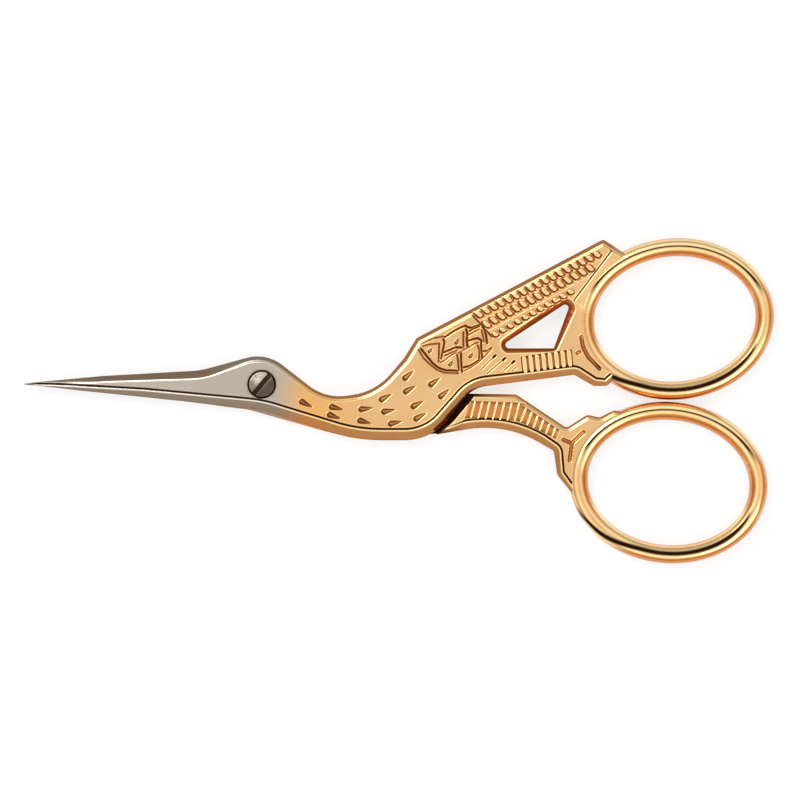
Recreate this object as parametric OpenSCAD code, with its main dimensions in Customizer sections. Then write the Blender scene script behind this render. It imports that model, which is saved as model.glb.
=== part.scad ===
// Stork embroidery scissors, closed, lying on the rear half.
// Two forged halves cross at the slotted screw that makes the bird's eye.
// Origin on the pivot axis in the plane the scissors lie on, X towards the finger rings,
// Y from the lower ring to the upper ring, Z out of the face of the front half.

/* [Beak] */
// Length of the beak from the pivot axis to the tip
beak_length = 28.9; // [26:0.5:33]
// Thickness of one blade at the tip
tip_thickness = 0.75; // [0.6:0.05:1.2]
// Where the blades start to thin, measured from the pivot axis
taper_start = 8; // [7:0.5:10]
// Thickness left along the cutting edge
edge_land = 0.2; // [0.1:0.05:0.35]
// Width of the ground bevel along the cutting edge
bevel_width = 0.95; // [0.7:0.05:1.05]

/* [Body] */
// Thickness of each half at the pivot
half_thickness = 1.45; // [1.3:0.05:1.6]
// Gap between the inner faces of the two halves
running_gap = 0.04; // [0.02:0.01:0.08]
// Width of the rounded spine along the belly of the bird
spine_width = 1.35; // [1.1:0.05:1.45]
// Width of the rounded rim along the back of the bird
rim_width = 0.6; // [0.4:0.05:0.7]
// Height of the wall left below the rounded edges
wall_height = 0.45; // [0.35:0.05:0.6]
// How far legs and tail stay below the face of the other half
step_drop = 0.35; // [0.25:0.05:0.5]
// Clear gap in plan between the thick part of one half and the plate of the other
step_gap = 0.25; // [0.2:0.05:0.4]

/* [Finger rings] */
// Inner length of the finger rings
ring_length = 19.3; // [18.6:0.1:19.8]
// Inner height of the finger rings
ring_height = 14.9; // [14.2:0.1:14.9]
// Width of the ring wire seen from the face
ring_band = 2.2; // [2:0.05:2.2]
// Depth of the ring wire
ring_depth = 2.7; // [2.4:0.05:2.8]
// Turn of the upper ring
upper_tilt = 5; // [3:0.5:6]
// Turn of the lower ring
lower_tilt = -6; // [-8:0.5:-4]

/* [Pivot screw] */
// Diameter of the screw head
head_diameter = 3.2; // [2.8:0.1:3.4]
// Height of the screw head
head_height = 0.78; // [0.65:0.01:0.85]
// How far the head stands above the face
head_proud = 0.06; // [0:0.02:0.1]
// Radial gap round the head in its recess
head_gap = 0.12; // [0.05:0.01:0.2]
// Diameter of the plain shank the front half turns on
shank_diameter = 2; // [1.8:0.1:2.3]
// Radial running clearance of the front half on the shank
shank_clearance = 0.03; // [0.02:0.01:0.08]
// Diameter of the threaded end held in the rear half
thread_diameter = 1.7; // [1.4:0.05:1.75]
// Width of the driver slot
slot_width = 0.6; // [0.45:0.05:0.8]
// Depth of the driver slot
slot_depth = 0.42; // [0.3:0.02:0.5]
// Direction of the driver slot
slot_angle = 50; // [0:5:90]

/* [Window under the tail] */
// Radius of the corners of the window
window_corner = 0.42; // [0.3:0.02:0.5]
// Width of the sloping edge round the window
window_slope = 0.3; // [0.2:0.05:0.35]

/* [Ornament] */
// Depth of the incised lines
line_depth = 0.13; // [0.08:0.01:0.18]
// Length of a drop shaped feather mark on the neck
drop_length = 1.15; // [0.9:0.05:1.3]
// Width of a drop shaped feather mark
drop_width = 0.62; // [0.45:0.01:0.7]
// Spacing of the feathers along the tail
feather_pitch = 0.95; // [0.9:0.01:1.1]
// Length of the notch between two feathers
feather_notch = 0.95; // [0.7:0.05:1.05]
// Spacing of the ribs on the legs
rib_pitch = 0.86; // [0.8:0.01:0.88]
// Radius of the flutes between the ribs
flute_radius = 0.24; // [0.18:0.01:0.28]
// Ribs on the upper leg
upper_ribs = 7; // [5:1:8]
// Ribs on the lower leg
lower_ribs = 13; // [10:1:14]

/* [Hidden] */

$fn = 48;
total_thickness = 2 * half_thickness;
// Depth of one forging, from the face of its plate to the far side of its ring
forging_depth = (total_thickness + ring_depth) / 2;
steel = [0.78, 0.72, 0.62];
gilt = [0.86, 0.62, 0.30];
stretch = beak_length / 28.9;

// The rings keep their small gap to each other when their height changes
upper_centre = [49.3, 7.8 + (ring_height - 14.9) / 2];
lower_centre = [48.55, -11.72 - (ring_height - 14.9) / 2];

// Edge kinds: 0 ground bevel, 1 rounded spine, 2 rounded rim
edge_width = [bevel_width, spine_width, rim_width];
edge_foot = [edge_land, wall_height, wall_height];
edge_power = [1, 2.2, 2.2];

// Corners run round the bird against the clock: x, y, corner radius, edge kind, share of the edge width
front_corners = [
    [-28.65 * stretch, 0, 0.06, 1, 0.02], [-22 * stretch, -0.72, 20, 1, 0.4], [-14 * stretch, -1.54, 40, 1, 0.75],
    [0.2, -3.03, 15, 1, 0.85], [11, -6.68, 20, 1, 1], [20.3, -6.68, 6.6, 1, 1],
    [25.1, -0.42, 4.2, 1, 0.75], [37.3, 1.13, 0.8, 1, 0.7], [39.6, -0.2, 0.5, 1, 0.6], [41.2, -0.2, 0.5, 1, 0.5],
    [43.4, 8, 1, 2, 0.8], [42.6, 16.05, 0.3, 2, 0.8], [40.75, 17.3, 0.5, 2, 0.8], [18.45, 5.5, 0.7, 2, 1],
    [17, 3.15, 4, 2, 1.1], [13.6, -0.86, 7.2, 2, 0.9], [7.6, -1.72, 6, 2, 0.9], [0.55, 3.8, 4.8, 2, 1],
    [-7.3 * stretch, 1.68, 10, 0, 1], [-19 * stretch, 1.08, 30, 0, 0.75]
];
rear_corners = [
    [-28.9 * stretch, 0, 0.06, 0, 0.02], [-14 * stretch, -1.4, 40, 0, 0.85], [-1.5, -3.05, 6, 2, 0.8],
    [11, -6.58, 20, 2, 1], [20.6, -5.9, 6, 2, 1], [29.1, -4.6, 13, 1, 0.6],
    [34.85, -7.95, 0.5, 1, 0.6], [35.25, -10.8, 0.8, 1, 0.6], [37.1, -13.1, 0.5, 1, 0.5], [43, -11, 1, 1, 0.5],
    [42, -3.1, 0.5, 2, 0.8], [40.3, -3.98, 1, 2, 0.8], [38.85, -3.62, 0.7, 2, 0.8], [36.35, -5.2, 0.6, 2, 0.8],
    [30.35, -1.2, 0.7, 2, 0.8], [24.2, -1.1, 0.5, 2, 0.6], [16.2, 2.1, 0.9, 2, 0.6],
    [13.6, -0.96, 7.2, 2, 0.9], [7.6, -1.82, 6, 2, 0.9], [0.55, 3.7, 4.8, 2, 1],
    [-7.3 * stretch, 1.58, 10, 1, 0.6], [-19 * stretch, 0.98, 30, 1, 0.45]
];

// Thick parts: tail and upper leg on the front half, lower leg on the rear half
tail_root = [for (p = [[16.2, 2.1], [24.2, -1.1]]) p + step_gap * [0.371, 0.928]];
leg_root = [for (p = [[25.1, -0.95], [22.55, -4.15], [20.45, -6.0]]) p + (step_gap - 0.1) * [0.803, -0.596]];
tail_corners = concat(
    [[tail_root[1][0], tail_root[1][1], 0.2, 2, 0.6], [front_corners[6][0], front_corners[6][1], 1, 2, 0.6]],
    [for (i = [7:14]) front_corners[i]],
    [[tail_root[0][0] + 0.15, tail_root[0][1], 0.2, 2, 0.6]]);
leg_corners = concat(
    [for (i = [5:14]) rear_corners[i]],
    [[leg_root[0][0], leg_root[0][1] - 0.12, 0.15, 2, 0.6], [leg_root[1][0], leg_root[1][1], 4, 2, 0.6],
     [leg_root[2][0], leg_root[2][1] + 0.06, 0.1, 2, 0.5]]);

window_corners = [[28.08, 4.29, window_corner, 2, 1], [34.84, 4.29, window_corner / 2, 2, 1],
                  [37.02, 10.14, window_corner, 2, 1]];

// Feather marks on the neck: x, y, direction
drops = [[5.2, -2.2, -30], [8.8, -2.7, -18], [8.4, -3.7, -14], [12.3, -2.9, 8], [12.1, -4.4, -8],
         [14.6, -1.6, 22], [15, -3.25, 5], [15.7, -4.6, 12], [17.5, 0.9, 55], [17.65, -0.6, 36],
         [18.4, -2.4, 30], [18.7, -4.1, 28], [20.4, 0.3, 45], [21.8, -1.1, 45]];

tail_angle = atan2(17.3 - 5.5, 40.75 - 18.45);

// Unit vector from p to q
function unit(p, q) = (q - p) / norm(q - p);
function xy(c) = [c[0], c[1]];

// Half the angle at a corner and whether the outline turns left there
function half_angle(a, b, c) = acos(max(-1, min(1, unit(b, a) * unit(b, c)))) / 2;
function left_turn(a, b, c) = cross(b - a, c - b) > 0;

// A corner moved inwards by d along the bisector
function drawn_in(c, i, s) =
    let (n = len(c), a = xy(c[(i + n - 1) % n]), b = xy(c[i]), e = xy(c[(i + 1) % n]),
         d = s * c[i][4] * edge_width[c[i][3]], h = half_angle(a, b, e), m = unit(b, a) + unit(b, e),
         side = left_turn(a, b, e) ? 1 : -1)
    b + side * m / norm(m) * d / sin(h);

// Number of chords round a corner, the same at every level so that the levels can be skinned
function chords(c, i) =
    let (n = len(c), a = xy(c[(i + n - 1) % n]), b = xy(c[i]), e = xy(c[(i + 1) % n]))
    c[i][2] < 0.1 ? 2 : max(2, ceil((180 - 2 * half_angle(a, b, e)) / 10));

// Points round one corner for the outline drawn in by the share s of the edge width
function corner_points(c, q, i, s) =
    let (n = len(c), a = q[(i + n - 1) % n], b = q[i], e = q[(i + 1) % n], h = half_angle(a, b, e),
         left = left_turn(a, b, e), d = s * c[i][4] * edge_width[c[i][3]],
         r = max(min(0.14, c[i][2]), left ? c[i][2] - d : c[i][2] + d), m = unit(b, a) + unit(b, e),
         o = b + m / norm(m) * r / sin(h), k = chords(c, i), sweep = (left ? 1 : -1) * (180 - 2 * h),
         p = b + unit(b, a) * r / tan(h) - o, start = atan2(p[1], p[0]))
    [for (j = [0:k]) [o[0] + r * cos(start + sweep * j / k), o[1] + r * sin(start + sweep * j / k), i]];

function outline(c, s) =
    let (q = [for (i = [0:len(c) - 1]) drawn_in(c, i, s)])
    [for (i = [0:len(c) - 1]) each corner_points(c, q, i, s)];

// Height of the edge surface at the share s from the outline
function edge_level(c, i, h, s) =
    let (kind = c[i][3], foot = edge_foot[kind])
    h - (h - foot) * pow(1 - s, edge_power[kind]);

// Plate with the outline c: flat base at z0, shaped edges and a flat face at z0 + h, or at z0 - h where down is true
module plate(c, z0, h, shares = [0, 0.25, 0.55, 1], down = false) {
    rows = [for (s = shares) [for (p = outline(c, s)) [p[0], p[1], edge_level(c, p[2], h, s)]]];
    levels = concat([[for (p = outline(c, 0)) [p[0], p[1], 0]]], rows);
    n = len(levels[0]);
    m = len(levels);
    skin = concat(
        [[for (j = [0:n - 1]) j]],
        [[for (j = [n - 1:-1:0]) (m - 1) * n + j]],
        [for (k = [0:m - 2]) for (j = [0:n - 1]) each
            [[k * n + (j + 1) % n, k * n + j, (k + 1) * n + j],
             [k * n + (j + 1) % n, (k + 1) * n + j, (k + 1) * n + (j + 1) % n]]]);
    polyhedron(
        points = [for (l = levels) for (p = l) [p[0], p[1], z0 + (down ? -p[2] : p[2])]],
        faces = down ? [for (f = skin) [for (i = [len(f) - 1:-1:0]) f[i]]] : skin);
}

// Finger ring: a rounded wire swept round an oval
module finger_ring(centre, tilt) {
    a = (ring_length + ring_band) / 2;
    b = (ring_height + ring_band) / 2;
    n = 72;
    m = 14;
    function out(t) = [b * cos(t), a * sin(t)] / norm([b * cos(t), a * sin(t)]);
    translate([centre[0], centre[1], half_thickness]) rotate([0, 0, tilt]) polyhedron(
        points = [for (i = [0:n - 1]) for (j = [0:m - 1])
            let (t = 360 * i / n, s = 360 * (j + 0.5) / m, o = out(t) * ring_band / 2 * cos(s))
            [a * cos(t) + o[0], b * sin(t) + o[1],
             ring_depth / 2 * sign(sin(s)) * pow(abs(sin(s)), 0.85)]],
        faces = [for (i = [0:n - 1]) for (j = [0:m - 1])
            let (p = i * m + j, q = i * m + (j + 1) % m, r = ((i + 1) % n) * m + (j + 1) % m, t = ((i + 1) % n) * m + j)
            each [[p, q, r], [p, r, t]]]);
}

// Solid oval that clears the inside of a ring, grown by g beyond the inner edge
module ring_core(centre, tilt, g) {
    a = ring_length / 2 + g;
    b = ring_height / 2 + g;
    translate([centre[0], centre[1], -1]) rotate([0, 0, tilt]) linear_extrude(total_thickness + 2)
        polygon([for (t = [0:5:355]) [a * cos(t), b * sin(t)]]);
}

// Incised line with a pointed section from p to q
module line(p, q, depth = line_depth) {
    d = q - p;
    translate([p[0], p[1], total_thickness]) rotate([0, 0, atan2(d[1], d[0])]) rotate([0, 90, 0])
        cylinder(h = norm(d), r = depth, $fn = 4);
}

// Chain of incised lines
module chain(p) for (i = [0:len(p) - 2]) line(p[i], p[i + 1]);

// Drop shaped feather mark, blunt end at the neck side
module drop(p) {
    sink = 0.1;
    translate([p[0], p[1], total_thickness + sink]) rotate([0, 0, p[2]]) {
        sphere(r = drop_width / 2, $fn = 10);
        rotate([0, 90, 0]) cylinder(h = drop_length, r1 = drop_width / 2, r2 = 0.12, $fn = 10);
    }
}

// Flute between two ribs, length l, centred on p and turned by a
module flute(p, l, a) {
    translate([p[0], p[1], total_thickness + flute_radius * 0.25]) rotate([0, 0, a])
        rotate([90, 0, 0]) translate([0, 0, -l / 2]) cylinder(h = l, r = flute_radius, $fn = 10);
}

module neck_marks() for (p = drops) drop(p);

// Feathers on the tail: three rows that follow the back of the tail
module feathers() {
    translate([18.45, 5.5, 0]) rotate([0, 0, tail_angle]) {
        for (row = [[-1.3, 8.2, 17], [-2.5, 8.5, 15], [-3.7, 8.8, 11]]) {
            for (i = [0:row[2] - 1])
                translate([row[1] + i * feather_pitch, row[0], total_thickness]) rotate([0, 0, 78])
                    rotate([0, 90, 0]) translate([0, 0, -feather_notch / 2])
                        cylinder(h = feather_notch, r1 = 0.16, r2 = 0.26, $fn = 4);
        }
        line([7.6, -1.9], [22.6, -1.9], line_depth * 0.7);
        line([8, -3.1], [20.2, -3.1], line_depth * 0.7);
        line([7.4, -0.7], [8.6, -4.3]);
    }
}

// Wing shield with its crossed bands
module shield() {
    chain([[18.9, 4.5], [21.6, 2.1], [23.7, 1.3], [26.3, 2.3], [27.4, 4.1], [26.6, 7]]);
    chain([[19.4, 4.6], [21.6, 5.4], [21.5, 3.0], [24.2, 4.1], [26.5, 5.2]]);
    chain([[22.4, 6.4], [23.9, 3.9], [23.7, 1.4]]);
    chain([[22.4, 6.4], [24.9, 7.0], [26.4, 4.6], [24.6, 2.9]]);
}

module upper_leg_flutes()
    for (i = [0:upper_ribs]) flute([31.7 + i * rib_pitch, 2.15 + i * 0.1, 0], 1.7 + 0.06 * i, 2);

// The lower leg bends, so its flutes follow two straight runs
module lower_leg_flutes()
    for (i = [0:lower_ribs])
        let (x = 24.1 + i * rib_pitch, fall = max(0, x - 29.4))
            flute([x, -3.2 - fall * 0.62, 0], 2.25 - fall * 0.06, -6 - fall * 2.5);

module leg_hatching() for (i = [0:3]) line([26.6 + i, 1.1 + i * 0.1], [27.9 + i * 0.8, 2.9 - i * 0.25], 0.1);

module ring_knuckle() {
    chain([[38.1, 5.6], [38.2, 4.4], [38.8, 3.1], [40.2, 2]]);
    line([37.7, 3.9], [38.2, 3.7]);
}

module lower_knuckle() {
    chain([[38.3, -5.7], [37, -6.9], [36, -6.5]]);
    line([37, -6.9], [36.7, -9.1]);
}

// Wedge that thins the blade towards its tip
module blade_taper(down) {
    fall = atan2(half_thickness - tip_thickness, beak_length - taper_start);
    translate([-taper_start, -10, down ? 0 : total_thickness]) rotate([0, down ? fall : -fall, 0])
        translate([-60, 0, down ? -4 : 0]) cube([60, 20, 4]);
}

module window() {
    c = window_corners;
    flare = [for (p = c) [p[0], p[1], p[2], p[3], -window_slope / rim_width]];
    translate([0, 0, -1]) linear_extrude(total_thickness + 2) polygon([for (p = outline(c, 0)) xy(p)]);
    for (side = [0, 1]) translate([0, 0, side * total_thickness]) mirror([0, 0, side]) window_flare(c, flare);
}

// Sloping edge of the window, wide at the face
module window_flare(c, flare) {
    wide = [for (p = outline(flare, 1.4)) [p[0], p[1], -0.2]];
    tight = [for (p = outline(c, 0)) [p[0], p[1], window_slope + step_drop]];
    n = len(wide);
    polyhedron(points = concat(wide, tight), faces = concat(
        [[for (j = [0:n - 1]) j]], [[for (j = [n - 1:-1:0]) n + j]],
        [for (j = [0:n - 1]) each [[(j + 1) % n, j, n + j], [(j + 1) % n, n + j, n + (j + 1) % n]]]));
}

// One half: thin plate with the blade, thick part, ring; the rear half is made face down
module half_body(thin, thick, centre, tilt, down = false) {
    overlap = 0.3;
    up = down ? -1 : 1;
    difference() {
        union() {
            plate(thin, half_thickness + up * running_gap / 2, half_thickness - running_gap / 2, down = down);
            plate(slimmed(thick), half_thickness + up * overlap, half_thickness + overlap - step_drop,
                [0, 0.4, 1], down = !down);
        }
        ring_core(centre, tilt, ring_band - 0.35);
        blade_taper(down);
    }
    finger_ring(centre, tilt);
}

// The corners drawn in by a hair so that the walls of the two plates stay apart
function slimmed(c) = [for (i = [0:len(c) - 1])
    let (p = drawn_in([for (k = c) [k[0], k[1], k[2], 2, 0.06 / rim_width]], i, 1)) [p[0], p[1], c[i][2], c[i][3], c[i][4]]];

// Turns a part made with its face up so that its face lies on the ground
module face_down() translate([0, 0, total_thickness]) mirror([0, 0, 1]) children();

// Front half: lower blade of the beak, tail, upper leg and upper ring
module front_half() color(gilt) {
    difference() {
        resize([0, 0, forging_depth])
            half_body(front_corners, tail_corners, upper_centre, upper_tilt);
        translate([0, 0, -1]) cylinder(h = total_thickness + 2, r = shank_diameter / 2 + shank_clearance);
        translate([0, 0, total_thickness + head_proud - head_height - running_gap / 2])
            cylinder(h = 3, r = head_diameter / 2 + head_gap);
        window();
        neck_marks();
        feathers();
        shield();
        upper_leg_flutes();
        leg_hatching();
        ring_knuckle();
        translate([0, 0, step_drop]) face_down() {
            feathers();
            upper_leg_flutes();
        }
    }
}

// Rear half: upper blade of the beak, lower leg and lower ring
module rear_half() color(gilt) {
    difference() {
        resize([0, 0, forging_depth])
            half_body(rear_corners, leg_corners, lower_centre, lower_tilt, true);
        translate([0, 0, -1]) cylinder(h = total_thickness + 2, r = thread_diameter / 2);
        face_down() {
            neck_marks();
            lower_leg_flutes();
            lower_knuckle();
        }
        translate([0, 0, -step_drop]) {
            lower_leg_flutes();
            lower_knuckle();
        }
    }
}

// Slotted screw: head in the recess of the front half, shank in its bore, thread in the rear half
module pivot_screw() color(steel) {
    top = total_thickness + head_proud;
    chamfer = 0.12;
    difference() {
        union() {
            translate([0, 0, top - head_height]) cylinder(h = head_height - chamfer, r = head_diameter / 2);
            translate([0, 0, top - chamfer])
                cylinder(h = chamfer, r1 = head_diameter / 2, r2 = head_diameter / 2 - chamfer);
            translate([0, 0, half_thickness - running_gap / 2])
                cylinder(h = top - head_height - half_thickness + running_gap, r = shank_diameter / 2);
            translate([0, 0, 0.15]) cylinder(h = half_thickness, r = thread_diameter / 2);
            translate([0, 0, 0.03]) cylinder(h = 0.12, r1 = thread_diameter / 2 - 0.12, r2 = thread_diameter / 2);
        }
        translate([0, 0, top - slot_depth]) rotate([0, 0, slot_angle])
            translate([-head_diameter, -slot_width / 2, 0]) cube([2 * head_diameter, slot_width, 1]);
    }
}

front_half();
rear_half();
pivot_screw();
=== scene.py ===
"""Stork embroidery scissors: the forged halves, their ornament, the pivot screw and the studio."""

import math

import bpy
import numpy as np
from bpy.props import FloatProperty, FloatVectorProperty, IntProperty, PointerProperty
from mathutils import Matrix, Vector
from mathutils.geometry import delaunay_2d_cdt
from mathutils.kdtree import KDTree


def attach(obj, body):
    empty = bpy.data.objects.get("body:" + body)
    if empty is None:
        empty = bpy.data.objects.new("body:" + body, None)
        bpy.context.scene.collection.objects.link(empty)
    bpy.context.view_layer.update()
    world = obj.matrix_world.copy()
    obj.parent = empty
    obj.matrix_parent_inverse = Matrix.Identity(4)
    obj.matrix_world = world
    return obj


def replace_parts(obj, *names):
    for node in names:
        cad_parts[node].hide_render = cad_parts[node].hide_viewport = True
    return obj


bl_info = {
    "name": "Stork embroidery scissors",
    "version": (1, 0, 0),
    "blender": (4, 5, 0),
    "location": "View3D > Sidebar > Scissors",
    "description": "Builds the gilt stork scissors on their packed frame",
    "category": "Object",
}

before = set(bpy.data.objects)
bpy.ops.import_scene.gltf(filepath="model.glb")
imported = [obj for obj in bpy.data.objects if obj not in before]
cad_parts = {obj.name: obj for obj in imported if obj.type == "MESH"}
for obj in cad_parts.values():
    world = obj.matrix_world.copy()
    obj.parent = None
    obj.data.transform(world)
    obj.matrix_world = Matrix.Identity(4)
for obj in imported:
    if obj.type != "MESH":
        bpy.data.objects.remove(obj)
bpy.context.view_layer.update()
MM = 0.001

# Levels of the forgings above the table, in millimetres
HALF = 1.45
TOTAL = 2 * HALF
INNER_GAP = 0.04
STEP = 0.35
# The front half's blade thins from the first x on, over the second length, by the third
BLADE_TAPER = (8, 20.9, 0.7)
FINE_FACE, FINE_BACK, FINE_QUICK = 0.062, 0.09, 0.12

# Radii of the pivot screw and of the holes that it sits in
SCREW_HEAD, SHANK, THREAD = 1.6, 1.0, 0.85
HEAD_SEAT, SHANK_HOLE, THREAD_HOLE = 1.72, 1.03, 0.86
SEAT_FLOOR = 2.16
SLOT_TURN = math.radians(50)

UPPER_CENTRE, UPPER_TILT = (49.3, 7.8), 5.0
LOWER_CENTRE, LOWER_TILT = (48.55, -11.72), -6.0

# Edge kinds: 0 ground bevel, 1 spine with a groove behind its crest, 2 rim, 3 window slope, 4 step root with painted
# shadow
# For each kind: slope, groove, strength of the painted brown shade, strength of the painted shadow at the root
EDGE_SHAPES = ((0.8, 0.0, 1.0, 0.0), (0.85, 1.0, 0.0, 0.0), (0.85, 0.3, 0.0, 0.0), (1.0, 0.0, 0.0, 0.4),
               (0.9, 0.0, 0.0, 1.0))
ROOT_WIDTH = 0.3
# Corners run against the clock: x, y, corner radius, edge kind, share of the edge width
FRONT_LOWER = [
    (-28.75, 0.08, 0.05, 1, 0.12), (-22, -0.72, 20, 1, 0.48), (-14, -1.54, 40, 1, 0.75), (0.2, -3.03, 15, 1, 0.86),
    (11, -6.68, 20, 1, 1), (20.3, -6.68, 6.6, 1, 1), (25.1, -0.42, 4.2, 1, 0.84), (37.3, 1.13, 0.8, 1, 0.78),
    (39.6, -0.2, 0.6, 1, 0.7), (41.2, -0.2, 0.6, 1, 0.6), (43.4, 2, 0.5, 1, 0.5)]
FRONT_UPPER = [
    (44.5, 14.9, 0.3, 2, 0.9), (42.6, 16.05, 0.3, 2, 0.9), (40.75, 17.3, 0.5, 2, 1), (18.45, 5.5, 0.7, 2, 1.05),
    (17, 3.15, 4, 2, 1.1), (13.6, -0.86, 7.2, 2, 0.95), (7.6, -1.72, 6, 2, 0.9), (0.55, 3.8, 4.8, 2, 1),
    (-7.3, 1.66, 10, 0, 1), (-19, 1.0, 30, 0, 0.72)]
REAR_LOWER = [
    (-28.9, 0, 0.05, 0, 0.06), (-14, -1.4, 40, 0, 0.85), (-1.5, -3.05, 6, 2, 0.8), (11, -6.58, 20, 2, 1),
    (20.6, -5.9, 6, 1, 0.8), (29.1, -4.6, 13, 1, 0.8), (34.85, -7.95, 0.5, 1, 0.7), (35.25, -10.8, 0.8, 1, 0.6),
    (37.1, -13.1, 0.5, 1, 0.5), (43, -11, 1, 1, 0.5)]
REAR_UPPER = [
    (44, -3.4, 0.4, 2, 0.7), (42, -3.1, 0.5, 2, 0.7), (40.3, -3.98, 1, 2, 0.7), (38.85, -3.62, 0.7, 2, 0.7),
    (36.35, -5.2, 0.6, 2, 0.7), (30.35, -1.2, 0.7, 2, 0.8), (24.2, -1.1, 0.5, 2, 0.6), (16.2, 2.1, 0.9, 2, 0.6),
    (13.6, -0.96, 7.2, 2, 0.9), (7.6, -1.82, 6, 2, 0.9), (0.55, 3.7, 4.8, 2, 1),
    (-7.3, 1.56, 10, 1, 0.7), (-19, 0.92, 30, 1, 0.5)]
TAIL_ROOT = [(24.29, -0.87, 0.2, 4, 0.6)]
TAIL_TOP = [(16.44, 2.33, 0.2, 4, 0.6)]
LEG_ROOT = [(25.22, -1.16, 0.15, 4, 1), (22.67, -4.24, 4, 4, 1), (20.57, -6.03, 0.1, 4, 1)]
WINDOW = [(28.08, 4.29, 0.42, 3, 0.75), (34.84, 4.29, 0.2, 3, 0.55), (37.02, 10.14, 0.42, 3, 1)]

# Drop shaped feathers on the neck: x and y of the blunt end, direction
DROPS = [
    (4.81, -2.08, -28), (8.38, -2.69, -14), (8.13, -3.64, -20), (11.9, -2.97, 7), (11.75, -4.32, -15),
    (14.31, -1.79, 28), (14.6, -3.26, 11), (15.41, -4.7, 13), (17.11, 0.77, 41), (17.2, -0.84, 30),
    (18.11, -2.61, 28), (18.45, -4.08, 29), (20.2, 0.01, 36), (21.38, -1.41, 41)]
DROP_LENGTH, DROP_WIDTH = 1.8, 0.76
# The tail's own axes: u along its back from the shoulder, v above it
TAIL_ORIGIN, TAIL_ANGLE = np.array([18.45, 5.5]), math.radians(27.9)

# The wing shield is drawn on its own grid: steps of SHIELD_STEP right of and below SHIELD_CORNER
SHIELD_CORNER, SHIELD_STEP = (17.68, 8.86), 0.0684
# Cuts beside the bands: width, share of the depth, then the points
SHIELD = [
    (0.072, 0.85, (15, 69), (23, 83), (33, 93), (47, 104), (60, 109), (85, 110)),
    (0.1, 1, (19, 67), (30, 81), (40, 93), (50, 101), (62, 105), (83, 106)),
    (0.072, 0.85, (21, 59), (30, 54), (42, 49), (56, 46), (61, 47)),
    (0.1, 1, (61, 47), (76, 37), (87, 31), (96, 27), (101, 30), (107, 31), (121, 26)),
    (0.072, 0.85, (22, 63), (33, 60), (51, 58)),
    (0.078, 0.9, (51, 58), (50, 90)), (0.09, 1, (58, 50), (60, 56), (57, 72), (54, 85)),
    (0.1, 1, (58, 74), (68, 70), (79, 65), (90, 65)), (0.08, 0.9, (61, 79), (70, 75), (81, 71)),
    (0.072, 0.85, (53, 91), (60, 88), (70, 80), (80, 74)),
    (0.078, 0.9, (93, 38), (93, 66)), (0.1, 1, (98, 33), (100, 42), (99, 50), (100, 64)),
    (0.072, 0.85, (85, 74), (95, 69), (104, 64), (113, 58), (119, 57)),
    (0.1, 1, (101, 54), (108, 51), (118, 49), (124, 52), (125, 56)),
    (0.078, 0.9, (118, 61), (121, 70), (121, 80), (120, 88)), (0.09, 1, (124, 56), (124, 70), (126, 84)),
    (0.1, 1, (93, 100), (102, 98), (110, 94), (119, 88)),
    (0.072, 0.85, (95, 106), (106, 100), (118, 92), (129, 82), (140, 70), (142, 66)),
    (0.078, 0.9, (82, 77), (84, 90), (85, 106)), (0.09, 1, (89, 75), (89, 90), (91, 108)),
    (0.08, 1, (104, 36), (112, 32), (121, 28)), (0.072, 0.85, (101, 44), (110, 39), (120, 34)),
    (0.1, 1, (126, 27), (131, 37), (133, 47), (134, 58)), (0.072, 0.85, (125, 34), (127, 45), (129, 56)),
    (0.078, 0.9, (126, 72), (134, 71), (141, 66))]
SEEDS = [(34, 72, 50), (81, 57, 70), (70, 95, 60), (105, 81, 60)]
HATCHES = [[(26.15, 1.75), (27.85, 3.45)], [(26.9, 1.3), (29.0, 3.1)], [(28.7, 1.45), (30.1, 2.75)],
           [(29.85, 1.55), (30.35, 2.05)]]
KNUCKLE = [[(38.1, 5.65), (38.3, 4.5), (38.9, 3.3), (40.3, 1.85)], [(37.65, 3.75), (37.85, 3.85)]]
LOWER_KNUCKLE = [[(38.35, -5.7), (37.6, -6.4), (37.0, -7.0), (36.9, -7.6), (36.7, -9.05)],
                 [(36.95, -7.0), (35.95, -6.6)]]

# Ribs in straight runs: ends of the run, half length at each end, lean in radians
UPPER_RIBS = ((31.36, 2.37), (36.69, 3.14), 1.04, 1.04, -0.04)
LOWER_RIBS_A = ((25.19, -3.02), (30.43, -3.3), 1.08, 1.15, -0.22)
LOWER_RIBS_B = ((31.21, -3.65), (34.83, -5.68), 0.95, 0.6, 0.12)
# Feather rows: v of the first and last feather, u of both, half length, count
FEATHER_ROWS = ((-0.98, -1.24, 7.95, 23.7, 0.42, 17), (-2.44, -2.28, 8.2, 22.2, 0.47, 15),
                (-3.95, -3.7, 8.55, 18.85, 0.33, 11))
FEATHER_LEAN = -0.25
TAIL_END = [(37.25, 10.0), (41.75, 15.95)]


# Outlines

def rounded(corners, closed=True, step=4.0):
    """Points along rounded corners: rows of x, y and the five edge values of that corner."""
    out, n = [], len(corners)
    for i in range(n):
        x, y, r, kind, share = corners[i]
        values = edge_values(kind, share)
        b = np.array([x, y])
        u = np.array(corners[i - 1][:2]) - b
        v = np.array(corners[(i + 1) % n][:2]) - b
        u, v = u / np.linalg.norm(u), v / np.linalg.norm(v)
        half = math.acos(max(-1, min(1, float(u @ v)))) / 2
        t = r / math.tan(half)
        w = (u + v) / np.linalg.norm(u + v)
        o = b + w * r / math.sin(half)
        p, q = b + u * t - o, b + v * t - o
        a0, a1 = math.atan2(p[1], p[0]), math.atan2(q[1], q[0])
        da = (a1 - a0 + math.pi) % (2 * math.pi) - math.pi
        m = max(2, int(math.degrees(abs(da)) / step) + 1)
        out += [(o[0] + r * math.cos(a0 + da * k / m), o[1] + r * math.sin(a0 + da * k / m), *values)
                for k in range(m + 1)]
    return np.array(out)


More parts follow.
